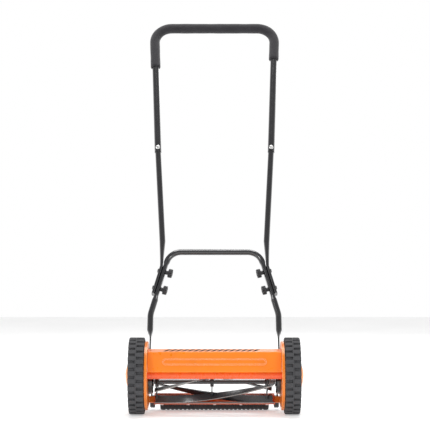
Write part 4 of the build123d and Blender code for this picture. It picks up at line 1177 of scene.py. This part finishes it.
@dataclass
class TopStripes:
    """Printed band of slanted bars on the deck's top, in place of any marking."""

    left: float = -134.0 * MM
    right: float = 132.0 * MM
    back: float = -3.0 * MM
    front: float = -38.0 * MM
    pitch: float = 15.0 * MM
    width: float = 8.0 * MM
    lean: float = 14.0 * MM
    thick: float = 0.12 * MM
    sheet: float = 1.5 * MM
    ridge: tuple[float, float] = (10.0 * MM, 165.0 * MM)
    brow: tuple[float, float] = (-45.0 * MM, 161.0 * MM)

    def height(self, y: float) -> float:
        """Height of the top sheet's outer face at y."""
        fall = (self.ridge[1] - self.brow[1]) / (self.ridge[0] - self.brow[0])
        skin = self.sheet / 2 * math.hypot(1.0, fall)
        return self.brow[1] + (y - self.brow[0]) * fall + skin

    def build(self) -> bpy.types.Object:
        """Lay the bars on the sheet.

        Returns:
            The finished piece.
        """
        bm = bmesh.new()
        deep = self.back - self.front
        count = int((self.right - self.left - self.lean) / self.pitch)
        for index in range(count):
            bar = bmesh.ops.create_cube(bm, size=1.0)["verts"]
            bmesh.ops.scale(bm, vec=(self.width, deep, self.thick), verts=bar)
            x = self.left + self.pitch * (index + 0.5)
            for vert in bar:
                vert.co.x += x + self.lean * (vert.co.y / deep + 0.5)
                vert.co.y += (self.back + self.front) / 2
                vert.co.z += self.height(vert.co.y) + self.thick / 2
        return Piece("deck_top_stripes", "chassis", "black_paint", Finishes.DECAL).placed(bm)


def handle_plane() -> HandlePlane:
    """Give the handle's plane, whose lean the clamp knobs' places fix.

    Returns:
        The plane.
    """
    low = Vector(JOINTS["handle_knob_left_lower_turn"]["pos_m"])
    high = Vector(JOINTS["handle_knob_left_upper_turn"]["pos_m"])
    rise = high - low
    lean = math.atan2(rise.y, rise.z)
    up = Vector((0.0, math.sin(lean), math.cos(lean)))
    return HandlePlane(PLACES.pivot - up * PLANE_DROP, lean)


# ------------------------------------------------------------------ studio


@dataclass(frozen=True)
class Studio:
    """Light tent, pale floor and camera."""

    eye: tuple[float, float, float] = (0.0013, -3.6, 0.395)
    tilt_up: float = 1.8
    lens: float = 117.7
    floor_half: float = 6.0
    tent: Colour = (1.0, 1.0, 1.0)
    roof: Colour = (0.42, 0.42, 0.42)
    floor_glow: float = 0.42

    def build(self) -> None:
        """Set the world, floor, lamps and camera."""
        scene = bpy.context.scene
        scene.view_settings.view_transform = "Standard"
        self.sky(scene)
        self.floor()
        self.lamp("overhead", (0.0, 0.5, 3.2), (0.0, 0.0, 0.2), 1.6, 55.0)
        self.lamp("front_left", (-2.2, -2.6, 2.2), (0.0, 0.0, 0.2), 1.0, 34.0)
        self.lamp("front_right", (2.4, -2.6, 1.8), (0.0, 0.0, 0.2), 0.8, 20.0)
        self.lamp("back", (0.8, 3.0, 2.0), (0.0, 0.2, 0.4), 1.6, 14.0)
        self.camera()

    def sky(self, scene: bpy.types.Scene) -> None:
        """Make the light tent: white walls that dim towards the roof.

        Args:
            scene: The scene that it lights.
        """
        world = bpy.data.worlds.new("tent")
        world.use_nodes = True
        nodes, links = world.node_tree.nodes, world.node_tree.links
        place = nodes.new("ShaderNodeTexCoord")
        split = nodes.new("ShaderNodeSeparateXYZ")
        ramp = nodes.new("ShaderNodeValToRGB")
        ramp.color_ramp.elements[0].position = 0.25
        ramp.color_ramp.elements[0].color = (*self.tent, 1.0)
        ramp.color_ramp.elements[1].position = 0.6
        ramp.color_ramp.elements[1].color = (*self.roof, 1.0)
        links.new(place.outputs["Generated"], split.inputs["Vector"])
        links.new(split.outputs["Z"], ramp.inputs["Fac"])
        links.new(ramp.outputs["Color"], nodes["Background"].inputs["Color"])
        scene.world = world

    def floor(self) -> None:
        """Lay the pale floor."""
        bm = bmesh.new()
        bmesh.ops.create_grid(bm, x_segments=1, y_segments=1, size=self.floor_half)
        mesh = bpy.data.meshes.new("floor")
        bm.to_mesh(mesh)
        bm.free()
        floor = bpy.data.objects.new("floor", mesh)
        bpy.context.scene.collection.objects.link(floor)
        wiring = Wiring("studio_floor")
        patches = wiring.spread(wiring.noise(3.0), 0.0, 1.0)
        pale = wiring.mix(patches, (0.86, 0.86, 0.86), (0.9, 0.9, 0.9))
        wiring.join(pale, wiring.shader.inputs["Base Color"])
        wiring.join(wiring.spread(wiring.noise(20.0), 0.6, 0.8), wiring.shader.inputs["Roughness"])
        wiring.join(pale, wiring.shader.inputs["Emission Color"])
        wiring.shader.inputs["Emission Strength"].default_value = self.floor_glow
        mesh.materials.append(wiring.material)

    @staticmethod
    def lamp(
        name: str,
        place: tuple[float, float, float],
        aim: tuple[float, float, float],
        size: float,
        power: float,
    ) -> None:
        """Hang a square soft lamp.

        Args:
            name: The lamp's name.
            place: Where it hangs.
            aim: The point it faces.
            size: Its side in metres.
            power: Its power in watts.
        """
        light = bpy.data.lights.new(name, "AREA")
        light.shape = "SQUARE"
        light.size = size
        light.energy = power
        lamp = bpy.data.objects.new(name, light)
        bpy.context.scene.collection.objects.link(lamp)
        lamp.location = place
        lamp.rotation_euler = (Vector(aim) - Vector(place)).to_track_quat("-Z", "Y").to_euler()

    def camera(self) -> None:
        """Stand the camera in front, a little below the handle's middle and tipped up."""
        data = bpy.data.cameras.new("camera")
        data.lens = self.lens
        camera = bpy.data.objects.new("camera", data)
        camera.location = self.eye
        camera.rotation_euler = (math.radians(90.0 + self.tilt_up), 0.0, 0.0)
        bpy.context.scene.collection.objects.link(camera)
        bpy.context.scene.camera = camera


def main() -> None:
    """Build the mower's looks and the studio."""
    logging.basicConfig(level=logging.INFO, format="%(name)s: %(message)s")
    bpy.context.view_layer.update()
    dress_frame()
    for side in SIDES:
        Tyre(side).build()
    Roller().build()
    FoamGrip(handle_plane()).build()
    build_knobs()
    TopStripes().build()
    Studio().build()


if __name__ == "__main__":
    main()
